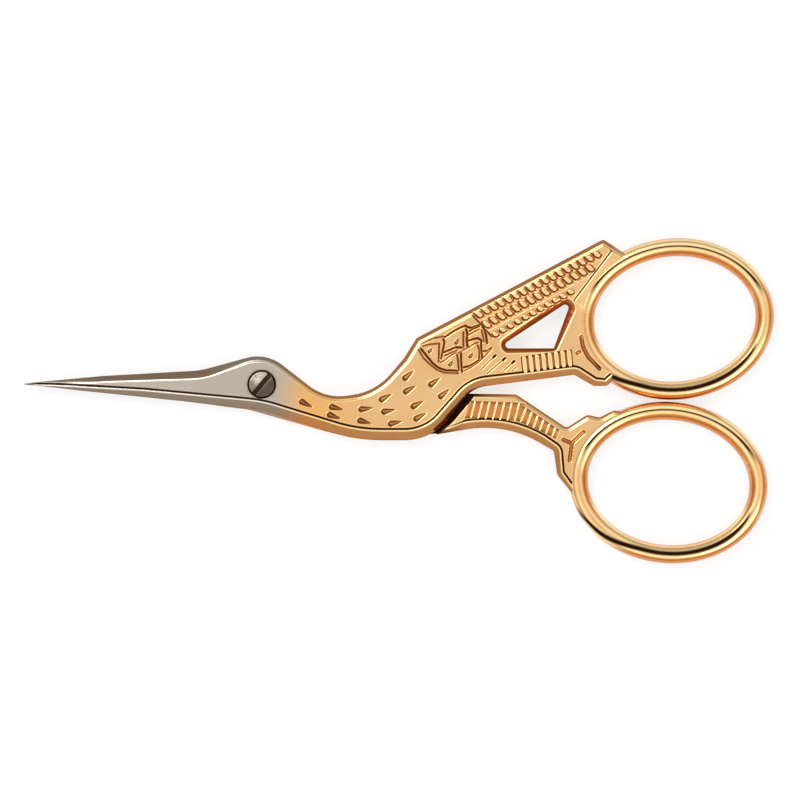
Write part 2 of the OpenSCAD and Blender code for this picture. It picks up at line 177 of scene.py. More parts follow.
def spaced(rows, gap=0.22, closed=False):
    """The same line with no stretch longer than gap."""
    out = []
    n = len(rows) if closed else len(rows) - 1
    for i in range(n):
        a, b = rows[i], rows[(i + 1) % len(rows)]
        m = max(1, int(math.ceil(np.linalg.norm(b[:2] - a[:2]) / gap)))
        out += [a + (b - a) * k / m for k in range(m)]
    if not closed:
        out.append(rows[-1])
    return np.array(out)


def oval(centre, tilt, a, b, angles):
    """Points on a turned oval at angles in degrees."""
    t, s = math.radians(tilt), np.radians(angles)
    x, y = a * np.cos(s), b * np.sin(s)
    return np.column_stack([centre[0] + x * math.cos(t) - y * math.sin(t),
                            centre[1] + x * math.sin(t) + y * math.cos(t)])


def oval_angle(centre, tilt, a, b, p):
    """Angle of p on a turned oval in degrees, and its distance from the centre, 1 on the oval."""
    t = math.radians(-tilt)
    d = np.array(p) - centre
    x, y = d[0] * math.cos(t) - d[1] * math.sin(t), d[0] * math.sin(t) + d[1] * math.cos(t)
    return math.degrees(math.atan2(y / b, x / a)) % 360, math.hypot(x / a, y / b)


def edge_values(kind, share):
    """Width, slope, groove, painted brown shade and painted root shadow of one kind of edge."""
    sizes = bpy.context.scene.forging_sizes
    widths = (sizes.bevel_width, sizes.spine_width, sizes.rim_width, sizes.window_slope, ROOT_WIDTH)
    return (widths[kind] * share, *EDGE_SHAPES[kind])


class Edge:
    """A stretch of outline with the shape of its edge."""

    def __init__(self, rows):
        self.p, self.values = rows[:, :2], rows[:, 2:]

    def near(self, q):
        """Distance to the line and the edge values at the nearest place."""
        a, b = self.p[:-1], self.p[1:]
        ab = b - a
        ll = np.maximum((ab ** 2).sum(1), 1e-12)
        dist, vals = np.empty(len(q)), np.empty((len(q), 5))
        for s in range(0, len(q), 6000):
            c = q[s:s + 6000]
            t = np.clip(((c[:, None, 0] - a[:, 0]) * ab[:, 0] + (c[:, None, 1] - a[:, 1]) * ab[:, 1]) / ll, 0, 1)
            dx = c[:, None, 0] - a[:, 0] - t * ab[:, 0]
            dy = c[:, None, 1] - a[:, 1] - t * ab[:, 1]
            d2 = dx * dx + dy * dy
            j = d2.argmin(1)
            r = np.arange(len(c))
            tj = t[r, j][:, None]
            dist[s:s + 6000] = np.sqrt(d2[r, j])
            vals[s:s + 6000] = self.values[j] * (1 - tj) + self.values[j + 1] * tj
        return dist, vals


def clipped(lower, upper, centre, tilt, sizes):
    """The outline of a plate cut off at the middle of the ring wire: lower run, arc on the ring, upper run."""
    a = (sizes.ring_length + sizes.ring_band) / 2
    b = (sizes.ring_height + sizes.ring_band) / 2
    corners = lower + upper
    rows = rounded(corners)
    marks = np.array([oval_angle(centre, tilt, a, b, p[:2])[1] for p in rows]) < 1
    n = len(rows)
    first = next(i for i in range(n) if not marks[i - 1] and marks[i])
    last = next(i for i in range(first, first + n) if marks[i % n] and not marks[(i + 1) % n])

    def crossing(p, q):
        lo, hi = 0.0, 1.0
        inside = oval_angle(centre, tilt, a, b, q[:2])[1] < 1
        for _ in range(40):
            m = (lo + hi) / 2
            if (oval_angle(centre, tilt, a, b, (p + (q - p) * m)[:2])[1] < 1) == inside:
                hi = m
            else:
                lo = m
        return p + (q - p) * (lo + hi) / 2

    enter = crossing(rows[first - 1], rows[first])
    leave = crossing(rows[last % n], rows[(last + 1) % n])
    s0, s1 = (oval_angle(centre, tilt, a, b, p[:2])[0] for p in (enter, leave))
    arc = oval(centre, tilt, a, b, np.linspace(s0, s1, 90))
    rest = [rows[(last + 1 + i) % n] for i in range(n - (last - first + 1))]
    ring = np.array([leave] + rest + [enter])
    tip = int(ring[:, 0].argmin())
    return spaced(ring[tip:]), np.column_stack([arc, np.zeros((90, 5))]), spaced(ring[:tip + 1])


def smooth(t):
    """From 0 to 1 with a soft start and end."""
    t = np.clip(t, 0, 1)
    return t * t * (3 - 2 * t)


def to_lines(q, lines):
    """Distance from each point to the nearest of several open lines."""
    best = np.full(len(q), 9.0)
    for line in lines:
        p = np.array(line, float)
        near = (q > p.min(0) - 0.8).all(1) & (q < p.max(0) + 0.8).all(1)
        c = q[near]
        d = np.full(len(c), 9.0)
        for a, b in zip(p[:-1], p[1:]):
            ab = b - a
            t = np.clip((c - a) @ ab / (ab @ ab), 0, 1)
            d = np.minimum(d, np.hypot(*(c - a - t[:, None] * ab).T))
        best[near] = np.minimum(best[near], d)
    return best


# Ornament, as depth below the face

def drop_marks(q, marks, length, width, depth):
    """Cuts shaped as drops, deepest just inside their outline."""
    out = np.zeros(len(q))
    for x, y, turn in marks:
        near = (np.abs(q - (x, y)) < length + 0.3).all(1)
        d = q[near] - (x, y)
        c, s = math.cos(math.radians(turn)), math.sin(math.radians(turn))
        u, v = d[:, 0] * c + d[:, 1] * s, -d[:, 0] * s + d[:, 1] * c
        r = width / 2
        half = np.where(u < 0, np.sqrt(np.clip(r * r - u * u, 1e-6, None)),
                        r * np.clip(1 - u / (length - r), 1e-3, 1) ** 0.8)
        f = np.abs(v) / half
        f = np.where(u < 0, np.hypot(u, v) / r, f)
        ends = smooth((length - r + 0.05 - u) / 0.12)
        cut = (np.exp(-((f - 0.62) / 0.3) ** 2) + 0.6 * (f < 0.62)) * (f < 1.6) * ends
        out[near] = np.maximum(out[near], depth * np.clip(cut, 0, 1))
    return out


def on_shield(x, y):
    """Place of a point of the shield's grid."""
    return SHIELD_CORNER[0] + x * SHIELD_STEP, SHIELD_CORNER[1] - y * SHIELD_STEP


def shield_cuts(q, depth):
    """The cuts of the shield, the painted shade in them and the painted brown shade beside them."""
    out, brown_shade = np.zeros((2, len(q)))
    for width, share, *line in SHIELD:
        d = to_lines(q, [[on_shield(*p) for p in line]])
        out = np.maximum(out, depth * share * np.exp(-(d / (width * 1.15)) ** 2))
        brown_shade = np.maximum(brown_shade, share * np.exp(-(d / 0.2) ** 2))
    return out, out / depth, 0.85 * brown_shade


def strokes(q, lines, radius, depth):
    """Round bottomed cuts along lines."""
    d = to_lines(q, lines)
    return depth * np.clip(1 - (d / radius) ** 2, 0, 1) ** 0.7


def tail_point(u, v):
    """Place of a point given on the tail's own axes."""
    c, s = math.cos(TAIL_ANGLE), math.sin(TAIL_ANGLE)
    return TAIL_ORIGIN[0] + u * c - v * s, TAIL_ORIGIN[1] + u * s + v * c


def feather_places():
    """Middle, half length and row of each feather."""
    for k, (first, last, start, end, half, count) in enumerate(FEATHER_ROWS):
        for i in range(count):
            share = i / (count - 1)
            yield start + (end - start) * share, first + (last - first) * share, half, k


def feather_lines():
    """Line down the left side of each feather and under its end, and a finer one on its right: the cuts that
    feather_cuts paints dark as shade.
    """
    thick, thin = [], []

    def on_feather(x, y):
        return tail_point(u + x + FEATHER_LEAN * y * half, v + y * half)

    for u, v, half, k in feather_places():
        hook = [(-0.42, 1.0), (-0.42, -0.3), (-0.3, -0.85), (-0.05, -1.12), (0.22, -1.1), (0.36, -0.75)]
        if k == 1:
            hook = [(-0.2, 1.15)] + hook
        if k == 2:
            hook = [(-0.34, 0.5)] + hook[1:5]
        thick.append([on_feather(*p) for p in hook])
        if k < 2:
            thin.append([on_feather(0.37, -0.35), on_feather(0.37, 0.7)])
    thick.append([tail_point(7.2, -0.75), tail_point(8.05, -4.1)])
    thin += [[tail_point(7.7, -1.62), tail_point(23.9, -1.84)], [tail_point(8.0, -3.14), tail_point(21.5, -2.98)]]
    return thick, thin


def feather_cuts(q, depth):
    """The lines round the feathers with painted shade in them, and painted brown shade between the feathers of each
    row.
    """
    thick, thin = feather_lines()
    cuts = np.maximum(strokes(q, thick, 0.12, depth), strokes(q, thin, 0.08, 0.6 * depth))
    c, s = math.cos(TAIL_ANGLE), math.sin(TAIL_ANGLE)
    x, y = (q - TAIL_ORIGIN).T
    u, v = x * c + y * s, y * c - x * s
    brown_shade = np.zeros(len(q))
    for first, last, start, end, half, _ in FEATHER_ROWS:
        off = np.abs(v - first - (last - first) * (u - start) / (end - start))
        along_row = smooth((u - start + 0.5) / 0.1) * smooth((end + 0.5 - u) / 0.1)
        brown_shade = np.maximum(brown_shade, smooth((1.15 * half - off) / 0.2) * along_row)
    # Painted shade in the cuts; painted brown shade between the feathers and in the cuts
    return cuts, 0.85 * cuts / depth, np.maximum(0.9 * brown_shade, cuts / depth)


def bed(q, run, margin, depth, dark, ends):
    """Sunk strip under a run of ribs and margin beyond it, with its painted shade (dark along its middle, ends at its
    sides) and painted brown shade.
    """
    a, b = np.array(run[0]), np.array(run[1])
    length = np.linalg.norm(b - a)
    t = (b - a) / length
    u, v = (q - a) @ t, (q - a) @ np.array([-t[1], t[0]])
    u = u + v * math.tan(run[4])
    half = run[2] + (run[3] - run[2]) * np.clip(u / length, 0, 1)
    inside = smooth((u + margin) / 0.1) * smooth((length + margin - u) / 0.1) * smooth((half - np.abs(v)) / 0.1)
    # Painted shade in the sunk bed, and painted brown shade over it
    tone = inside * (dark + (ends - dark) * smooth((np.abs(v) - half + 0.42) / 0.25))
    return depth * inside, tone, 0.9 * inside


def toned(cut, depth, dark, brown_shade=0.0):
    """A cut with its painted shade and painted brown shade, which are in full at depth."""
    return cut, dark * cut / depth, brown_shade * cut / depth


def deepest(*marks):
    """The deepest of several cuts, and the strongest painted shade and painted brown shade among them."""
    return [np.maximum.reduce(values) for values in zip(*marks)]


def drops_on_neck(q, depth):
    """The drop shaped feathers of the neck, with painted shade and painted brown shade in them."""
    return toned(drop_marks(q, DROPS, DROP_LENGTH, DROP_WIDTH, 1.15 * depth), depth, 0.75, 0.8)


def soft_min(a, b, k):
    """The lower of two heights, blended over k."""
    h = np.clip(0.5 + 0.5 * (b - a) / k, 0, 1)
    return b + (a - b) * h - k * h * (1 - h)


def edge_level(q, edges, height, taper=None):
    """Height of the face above the base, and its painted shade, painted brown shade and painted highlight, from its
    shaped edges alone.
    """
    full = np.full(len(q), height)
    if taper is not None:
        full = full - np.clip((-q[:, 0] - taper[0]) / taper[1], 0, 1) * taper[2]
    z, painted_shade, ground, painted_highlight = full.copy(), *np.zeros((3, len(q)))
    for e in edges:
        d, v = e.near(q)
        w, slope, groove, bevel, root = v.T
        crest = w - 0.24 * np.clip(groove, 0, 1) * smooth(w / 0.6) * (groove > 0.9)
        fall = np.minimum(slope * crest, full - 0.22)
        line = full - fall + fall * d / np.maximum(crest, 0.05)
        rise = soft_min(full, line, np.minimum(0.1, 0.4 * fall + 0.001))
        cut = groove * np.exp(-((d - w) / 0.1) ** 2) * smooth(w / 0.35)
        # Painted brown shade over the width of a ground bevel
        ground = np.where(d < w, np.maximum(ground, bevel), ground)
        z = np.minimum(z, rise) - 0.2 * cut
        # Painted shade in the groove behind the spine and painted shadow at the step root; darker along the very edge
        # of the bevel towards the point
        tip = bevel * smooth((-q[:, 0] - 17) / 8) * smooth((0.2 - d) / 0.12)
        painted_shade = np.maximum.reduce([painted_shade, 1.5 * cut, root * smooth((0.45 - d) / 0.2), tip])
        # Painted highlight along the spine's crest and along the shoulders of the other edges
        line = np.where(groove > 0.9, w - 0.16, w + 0.05)
        bright = np.maximum(np.clip(groove - 0.3, 0, 0.7) / 0.7, bevel) + 0.65 * (1 - bevel) * (groove < 0.9)
        painted_highlight = np.maximum(painted_highlight, np.clip(bright, 0, 1) * np.exp(-((d - line) / 0.085) ** 2) * smooth(w / 0.3))
    return z, painted_shade, ground, painted_highlight


# Mesh of a plate with shaped edges and ornament

def within(q, loops):
    """Which points lie inside the outline and outside its holes."""
    a = np.vstack([lp[:, :2] for lp in loops])
    b = np.vstack([np.roll(lp[:, :2], -1, 0) for lp in loops])
    rise = b[:, 1] - a[:, 1]
    rise[rise == 0] = 1e-12
    out = np.zeros(len(q), bool)
    for s in range(0, len(q), 4000):
        x, y = q[s:s + 4000, 0][:, None], q[s:s + 4000, 1][:, None]
        hit = (a[:, 1] > y) != (b[:, 1] > y)
        out[s:s + 4000] = (hit & (x < a[:, 0] + (y - a[:, 1]) / rise * (b[:, 0] - a[:, 0]))).sum(1) % 2 == 1
    return out


def inside_rows(loops, xs, ys):
    """The same for the points of a grid, row by row."""
    ins = np.zeros((len(ys), len(xs)), bool)
    a = np.vstack([lp[:, :2] for lp in loops])
    b = np.vstack([np.roll(lp[:, :2], -1, 0) for lp in loops])
    for j, y in enumerate(ys):
        hit = (a[:, 1] > y) != (b[:, 1] > y)
        cuts = np.sort(a[hit, 0] + (y - a[hit, 1]) / (b[hit, 1] - a[hit, 1]) * (b[hit, 0] - a[hit, 0]))
        for x0, x1 in zip(cuts[::2], cuts[1::2]):
            ins[j] |= (xs > x0) & (xs < x1)
    return ins


def far_from(pts, line, gap):
    """Which points have nothing of line within gap."""
    tree = KDTree(len(line))
    for i, (x, y) in enumerate(line):
        tree.insert((x, y, 0), i)
    tree.balance()
    return np.array([tree.find((x, y, 0))[2] > gap for x, y in pts], bool)


def beside(edges, loops):
    """Sampling places along the crests, grooves and shoulders of shaped edges, well inside the outline."""
    border = np.vstack([lp[:, :2] for lp in loops])
    kept = []
    for e in edges:
        t = np.gradient(e.p, axis=0)
        n = np.column_stack([-t[:, 1], t[:, 0]]) / np.maximum(np.linalg.norm(t, axis=1), 1e-9)[:, None]
        w, spine = e.values[:, 0], (e.values[:, 2] > 0.9)
        back = w - 0.24 * spine
        for d in (w * 0.35, back - 0.13, back - 0.06, back, back + 0.07, w - 0.06, w, w + 0.06, w + 0.13, w + 0.2):
            c = e.p + n * d[:, None]
            c = c[(np.abs(e.near(c)[0] - d) < 0.01) & (d > 0.05)]
            if not len(c):
                continue
            c = c[np.r_[True, np.linalg.norm(np.diff(c, axis=0), axis=1) > 0.03]]
            c = c[within(c, loops)]
            if len(c):
                c = c[far_from(c, border, 0.035)]
            if len(c) and kept:
                c = c[far_from(c, np.vstack(kept), 0.04)]
            if len(c):
                kept.append(c)
    return kept


def line_samples(lines, taken):
    """Sampling places along the fine cuts, clear of those already taken."""
    kept, cells = [], {}
    for line in lines:
        p = spaced(np.array(line, float), 0.055)
        t = np.gradient(p, axis=0)
        n = np.column_stack([-t[:, 1], t[:, 0]]) / np.maximum(np.linalg.norm(t, axis=1), 1e-9)[:, None]
        for off in (0, 0.06, -0.06):
            for x, y in p + off * n:
                i, j = int(x // 0.04), int(y // 0.04)
                near = [cells.get((i + a, j + b)) for a in (-1, 0, 1) for b in (-1, 0, 1)]
                if all(o is None or math.hypot(x - o[0], y - o[1]) > 0.036 for o in near):
                    cells[i, j] = (x, y)
                    kept.append((x, y))
    kept = np.array(kept)
    return kept[far_from(kept, taken, 0.036)]


class Plate:
    """One forged plate: flat base, shaped edges, ornamented face."""

    def __init__(self, outer, holes, level, base, up=True, fine=0.06, shade=()):
        self.outer, self.holes, self.level = outer, holes, level
        self.base, self.up, self.fine, self.shade = base, up, fine, shade

    def points(self, extra):
        """Places where the surface is sampled: closely at ornament and edges, widely on plain faces."""
        loops = [self.outer] + self.holes
        f = self.fine
        lo, hi = self.outer[:, :2].min(0), self.outer[:, :2].max(0)
        xs, ys = np.arange(lo[0], hi[0], f), np.arange(lo[1], hi[1], f)
        ins = inside_rows(loops, xs, ys)
        gx, gy = np.meshgrid(xs, ys)
        z = np.full(ins.shape, np.nan)
        z[ins] = self.level(np.column_stack([gx[ins], gy[ins]]))[0]
        # Bend of the surface over a few cells decides where close sampling is needed
        bend = np.zeros(ins.shape)
        for k in (1, 3):
            zx = np.abs(np.roll(z, k, 1) + np.roll(z, -k, 1) - 2 * z)
            zy = np.abs(np.roll(z, k, 0) + np.roll(z, -k, 0) - 2 * z)
            bend = np.fmax(bend, np.nan_to_num(np.fmax(zx, zy)) / (1 if k == 1 else 2.5))
        detail = bend > 0.004
        wide = detail.copy()
        for dx, dy in ((1, 0), (-1, 0), (0, 1), (0, -1)):
            wide |= np.roll(detail, (dy, dx), (0, 1))
        jj, ii = np.indices(ins.shape)
        coarse = (jj % 6 == 0) & ((ii + 3 * ((jj // 6) % 2)) % 6 == 0)
        half = (jj % 2 == 0) & (ii % 2 == 0) & (bend > 0.0012)
        keep = ins & (wide | coarse | half)
        pts = np.column_stack([gx[keep], gy[keep]])
        edge = np.vstack([lp[:, :2] for lp in loops] + extra)
        return np.vstack([pts[far_from(pts, edge, 0.55 * f)]] + extra)

    def mesh(self, name, extra=()):
        loops = [lp[:, :2] for lp in [self.outer] + self.holes]
        verts, edges, n = [], [], 0
        for lp in loops:
            edges += [(n + i, n + (i + 1) % len(lp)) for i in range(len(lp))]
            verts += [Vector(p) for p in lp]
            n += len(lp)
        rim = n
        verts += [Vector(p) for p in self.points(list(extra))]
        co, faces, origin = self.triangles(verts, edges)
        z, painted_shade, ground, painted_highlight = self.level(co)
        flat, bottom, flat_from = self.triangles(verts[:rim] + [Vector(p) for p in self.shaded()], edges)
        top_of = {o: i for i, os in enumerate(origin) for o in os if o < rim}
        low_of = {o: len(co) + i for i, os in enumerate(flat_from) for o in os if o < rim}
        sign = 1 if self.up else -1
        v = np.vstack([np.column_stack([co, self.base + sign * z]),
                       np.column_stack([flat, np.full(len(flat), self.base)])])
        f = faces + [tuple(len(co) + i for i in reversed(t)) for t in bottom]
        sharp = set()
        for a, b in edges:
            if a in top_of and b in top_of:
                f.append((top_of[b], top_of[a], low_of[a], low_of[b]))
                sharp |= {frozenset((top_of[a], top_of[b])), frozenset((low_of[a], low_of[b]))}
        if not self.up:
            f = [t[::-1] for t in f]
        me = bpy.data.meshes.new(name)
        me.from_pydata((v * MM).tolist(), [], f)
        me.shade_smooth()
        fill = np.zeros(len(flat))
        # Painted shadow on the flat side beside the step of the other half
        dark = smooth((1.1 - to_lines(flat, self.shade)) / 0.3) if self.shade else fill
        # Painted shade, painted brown shade and painted highlight, read by the material
        paint(me, "painted_shade", np.r_[painted_shade, dark])
        paint(me, "ground", np.r_[ground, fill])
        paint(me, "painted_highlight", np.r_[painted_highlight, fill])
        marks = me.attributes.new("sharp_edge", "BOOLEAN", "EDGE")
        marks.data.foreach_set("value", [frozenset(e.vertices) in sharp for e in me.edges])
        return me

    def shaded(self):
        """Points on the flat side beside the step of the other half, where the painted shadow lies."""
        if not self.shade:
            return []
        p = np.vstack([spaced(np.array(line, float), 0.5) for line in self.shade])
        around = [(r * math.cos(a), r * math.sin(a)) for r in (0.75, 1.15) for a in np.arange(0, 6.2, 0.785)]
        q = np.vstack([p + shift for shift in around] + [p])
        d = to_lines(q, self.shade)
        q = q[(d < 0.01) | (np.abs(d - 0.75) < 0.02) | (np.abs(d - 1.15) < 0.02)]
        q = q[within(q, [self.outer] + self.holes)]
        return q[far_from(q, np.vstack([lp[:, :2] for lp in [self.outer] + self.holes]), 0.08)].tolist()

    def triangles(self, verts, edges):
        """Triangles inside the outline, none of them in a hole."""
        co, _, faces, origin, *_ = delaunay_2d_cdt(verts, edges, [], 1, 1e-7)
        co = np.array(co)
        middle = co[np.array(faces)].mean(1)
        keep = within(middle, [self.outer] + self.holes)
        return co, [tuple(t) for t, k in zip(faces, keep) if k], origin


def paint(mesh, label, values):
    """A value for each vertex, which the finish reads."""
    layer = mesh.attributes.get(label) or mesh.attributes.new(label, "FLOAT", "POINT")
    layer.data.foreach_set("value", np.asarray(values, np.float32))


def paint_slope_shade(mesh):
    """Marks the sloping shoulders with painted shade, which turns them to a browner tone."""
    n = np.empty(len(mesh.vertices) * 3, np.float32)
    mesh.vertex_normals.foreach_get("vector", n)
    nz = np.abs(n.reshape(-1, 3)[:, 2])
    paint(mesh, "painted_slope_shade", smooth((0.9 - nz) / 0.22) * (0.45 + 0.55 * smooth(nz / 0.35)))


# Pieces made by geometry nodes

def new_object(name, mesh):
    o = bpy.data.objects.new(name, mesh)
    bpy.context.scene.collection.objects.link(o)
    return o


def new_tree(name, kind, inputs, outputs):
    """A node tree with named sockets, and its input and output nodes."""
    tree = bpy.data.node_groups.new(name, kind)
    for label, socket_kind, *default in inputs:
        s = tree.interface.new_socket(label, in_out="INPUT", socket_type="NodeSocket" + socket_kind)
        if default:
            s.default_value = default[0]
    for label, socket_kind in outputs:
        tree.interface.new_socket(label, in_out="OUTPUT", socket_type="NodeSocket" + socket_kind)
    return tree, tree.nodes.new("NodeGroupInput"), tree.nodes.new("NodeGroupOutput")


def shapes_tree():
    """Shapes stood along a path at equal steps, turned with it, growing or shrinking towards its end."""
    tree, g_in, g_out = new_tree("shapes_along_path", "GeometryNodeTree", (
        ("Path", "Geometry"), ("Shape", "Object"), ("Count", "Int", 8), ("Turn", "Float", 0.0),
        ("End Size", "Float", 1.0), ("Material", "Material")), (("Geometry", "Geometry"),))
    n, link = tree.nodes, tree.links.new
    curve, steps = n.new("GeometryNodeMeshToCurve"), n.new("GeometryNodeResampleCurve")
    link(g_in.outputs["Path"], curve.inputs["Mesh"])
    link(curve.outputs["Curve"], steps.inputs["Curve"])
    link(g_in.outputs["Count"], steps.inputs["Count"])
    info = n.new("GeometryNodeObjectInfo")
    link(g_in.outputs["Shape"], info.inputs["Object"])
    tangent, split = n.new("GeometryNodeInputTangent"), n.new("ShaderNodeSeparateXYZ")
    link(tangent.outputs["Tangent"], split.inputs["Vector"])
    angle, total = n.new("ShaderNodeMath"), n.new("ShaderNodeMath")
    angle.operation, total.operation = "ARCTAN2", "ADD"
    link(split.outputs["Y"], angle.inputs[0])
    link(split.outputs["X"], angle.inputs[1])
    link(angle.outputs[0], total.inputs[0])
    link(g_in.outputs["Turn"], total.inputs[1])
    euler, rot = n.new("ShaderNodeCombineXYZ"), n.new("FunctionNodeEulerToRotation")
    link(total.outputs[0], euler.inputs["Z"])
    link(euler.outputs["Vector"], rot.inputs["Euler"])
    param, size, scale = (n.new(k) for k in ("GeometryNodeSplineParameter", "ShaderNodeMapRange",
                                             "ShaderNodeCombineXYZ"))
    link(param.outputs["Factor"], size.inputs["Value"])
    size.inputs["To Min"].default_value = 1.0
    link(g_in.outputs["End Size"], size.inputs["To Max"])
    scale.inputs["X"].default_value = scale.inputs["Z"].default_value = 1.0
    link(size.outputs["Result"], scale.inputs["Y"])
    put = n.new("GeometryNodeInstanceOnPoints")
    link(steps.outputs["Curve"], put.inputs["Points"])
    link(info.outputs["Geometry"], put.inputs["Instance"])
    link(rot.outputs["Rotation"], put.inputs["Rotation"])
    link(scale.outputs["Vector"], put.inputs["Scale"])
    finish_tree(tree, put.outputs["Instances"], g_in, g_out)
    return tree


def finish_tree(tree, geometry, g_in, g_out):
    """The last steps of every tree: real mesh with its material."""
    real, mat = tree.nodes.new("GeometryNodeRealizeInstances"), tree.nodes.new("GeometryNodeSetMaterial")
    tree.links.new(geometry, real.inputs["Geometry"])
    tree.links.new(real.outputs["Geometry"], mat.inputs["Geometry"])
    tree.links.new(g_in.outputs["Material"], mat.inputs["Material"])
    tree.links.new(mat.outputs["Geometry"], g_out.inputs["Geometry"])


def ring_tree():
    """The section of the wire swept round an oval."""
    tree, g_in, g_out = new_tree("finger_ring", "GeometryNodeTree", (
        ("Half Length", "Float", 0.01), ("Half Height", "Float", 0.008), ("Section", "Object"), ("Centre", "Vector"),
        ("Tilt", "Float", 0.0), ("Material", "Material")), (("Geometry", "Geometry"),))
    n, link = tree.nodes, tree.links.new
    path, axes, oval_path = (n.new(k) for k in ("GeometryNodeCurvePrimitiveCircle", "ShaderNodeCombineXYZ",
                                                "GeometryNodeTransform"))
    path.inputs["Resolution"].default_value, path.inputs["Radius"].default_value = 220, 1.0
    link(g_in.outputs["Half Length"], axes.inputs["X"])
    link(g_in.outputs["Half Height"], axes.inputs["Y"])
    axes.inputs["Z"].default_value = 1.0
    link(path.outputs["Curve"], oval_path.inputs["Geometry"])
    link(axes.outputs[0], oval_path.inputs["Scale"])
    info, section = n.new("GeometryNodeObjectInfo"), n.new("GeometryNodeMeshToCurve")
    link(g_in.outputs["Section"], info.inputs["Object"])
    link(info.outputs["Geometry"], section.inputs["Mesh"])
    up = n.new("GeometryNodeSetCurveNormal")
    link(oval_path.outputs["Geometry"], up.inputs["Curve"])
    set_choice(up, "mode", "Mode", "Z_UP", "Z Up")
    sweep = n.new("GeometryNodeCurveToMesh")
    link(up.outputs["Curve"], sweep.inputs["Curve"])
    link(section.outputs["Curve"], sweep.inputs["Profile Curve"])
    turn, euler, place = (n.new(k) for k in ("ShaderNodeCombineXYZ", "FunctionNodeEulerToRotation",
                                             "GeometryNodeTransform"))
    link(g_in.outputs["Tilt"], turn.inputs["Z"])
    link(turn.outputs[0], euler.inputs["Euler"])
    link(sweep.outputs["Mesh"], place.inputs["Geometry"])
    link(euler.outputs["Rotation"], place.inputs["Rotation"])
    link(g_in.outputs["Centre"], place.inputs["Translation"])
    shade = n.new("GeometryNodeSetShadeSmooth")
    link(place.outputs["Geometry"], shade.inputs["Geometry"])
    finish_tree(tree, shade.outputs["Geometry"], g_in, g_out)
    return tree


def set_choice(node, prop, label, value, menu):
    """A choice that is a property of the node in some versions and a menu socket in others."""
    if hasattr(node, prop):
        setattr(node, prop, value)
    else:
        node.inputs[label].default_value = menu


def grown(name, mesh, tree, values):
    """The plain mesh that a geometry node tree makes from mesh, as a new object."""
    o = new_object(name, mesh)
    mod = o.modifiers.new("build", "NODES")
    mod.node_group = tree
    for item in tree.interface.items_tree:
        if item.item_type == "SOCKET" and item.in_out == "INPUT" and item.name in values:
            mod[item.identifier] = values[item.name]
    o.update_tag()
    dg = bpy.context.evaluated_depsgraph_get()
    dg.update()
    made = bpy.data.meshes.new_from_object(o.evaluated_get(dg))
    o.modifiers.clear()
    o.data = made
    if not made.polygons:
        raise RuntimeError(f"{name} came out empty")
    return o


def pillow(name, length, width, height, up, square=0.5, lean=0.0, dark=0.5):
    """A raised shape with rounded top and sides, its long side along Y: one rib or one feather."""
    sides, levels = 16, ((1.0, -0.25), (0.97, 0.45), (0.86, 0.84), (0.66, 1.0))
    verts, faces = [], []
    for share, rise in levels:
        for j in range(sides):
            t = 2 * math.pi * (j + 0.5) / sides
            c, s = math.cos(t), math.sin(t)
            inset = (1 - share) * width / 2
            y = math.copysign(abs(s) ** square, s) * (length / 2 - inset)
            x = math.copysign(abs(c) ** square, c) * (width / 2 - inset) + lean * y
            verts.append((x * MM, y * MM, (height * rise if up else -height * rise) * MM))
    for k in range(len(levels) - 1):
        for j in range(sides):
            i = (j + 1) % sides
            faces.append((k * sides + j, k * sides + i, (k + 1) * sides + i, (k + 1) * sides + j))
    faces.append(tuple(range((len(levels) - 1) * sides, len(levels) * sides)))
    faces.append(tuple(range(sides - 1, -1, -1)))
    me = bpy.data.meshes.new(name)
    me.from_pydata(verts, [], faces if up else [f[::-1] for f in faces])
    me.shade_smooth()
    # Painted shade round the foot of the shape
    paint(me, "painted_shade", [dark if k < sides else 0.0 for k in range(len(verts))])
    # Painted highlight on its top
    paint(me, "painted_highlight", [0.45 if k >= 3 * sides else 0.0 for k in range(len(verts))])
    return me


def along(name, run, z, shape, count, material):
    """Shapes along a straight run on one face."""
    template = new_object(name + "_shape", shape)
    tree = bpy.data.node_groups.get("shapes_along_path") or shapes_tree()
    path = bpy.data.meshes.new(name)
    path.from_pydata([(x * MM, y * MM, z * MM) for x, y in run[:2]], [(0, 1)], [])
    o = grown(name, path, tree, {"Shape": template, "Count": count, "Turn": run[4],
                                 "End Size": run[3] / run[2], "Material": material})
    bpy.data.objects.remove(template)
    return o


def finger_ring(name, centre, tilt, metal):
    """The ring wire, domed on both faces and leaner towards the finger."""
    sizes = context_sizes()
    tree = bpy.data.node_groups.get("finger_ring") or ring_tree()
    t = np.linspace(-1, 1, 33)
    x = 0.4 * np.sin(t * math.pi / 2) + 0.6 * t
    y = np.where(x < 0, (1 - np.abs(x) ** 2.1) ** 0.5, (1 - np.abs(x) ** 2.6) ** 0.48)
    pts = np.vstack([np.column_stack([x, y]), np.column_stack([x, -y])[-2:0:-1]])
    me = bpy.data.meshes.new(name + "_section")
    me.from_pydata([(u * sizes.ring_band / 2 * MM, v * sizes.ring_depth / 2 * MM, 0) for u, v in pts],
                   [(i, (i + 1) % len(pts)) for i in range(len(pts))], [])
    section = new_object(name + "_section", me)
    a, b = (sizes.ring_length + sizes.ring_band) / 2, (sizes.ring_height + sizes.ring_band) / 2
    o = grown(name, bpy.data.meshes.new(name), tree, {
        "Half Length": a * MM, "Half Height": b * MM, "Section": section,
        "Centre": (centre[0] * MM, centre[1] * MM, HALF * MM), "Tilt": math.radians(tilt), "Material": metal})
    bpy.data.objects.remove(section)
    ring_tones(o.data, centre, tilt, a, b, sizes.ring_band / 2)
    return o


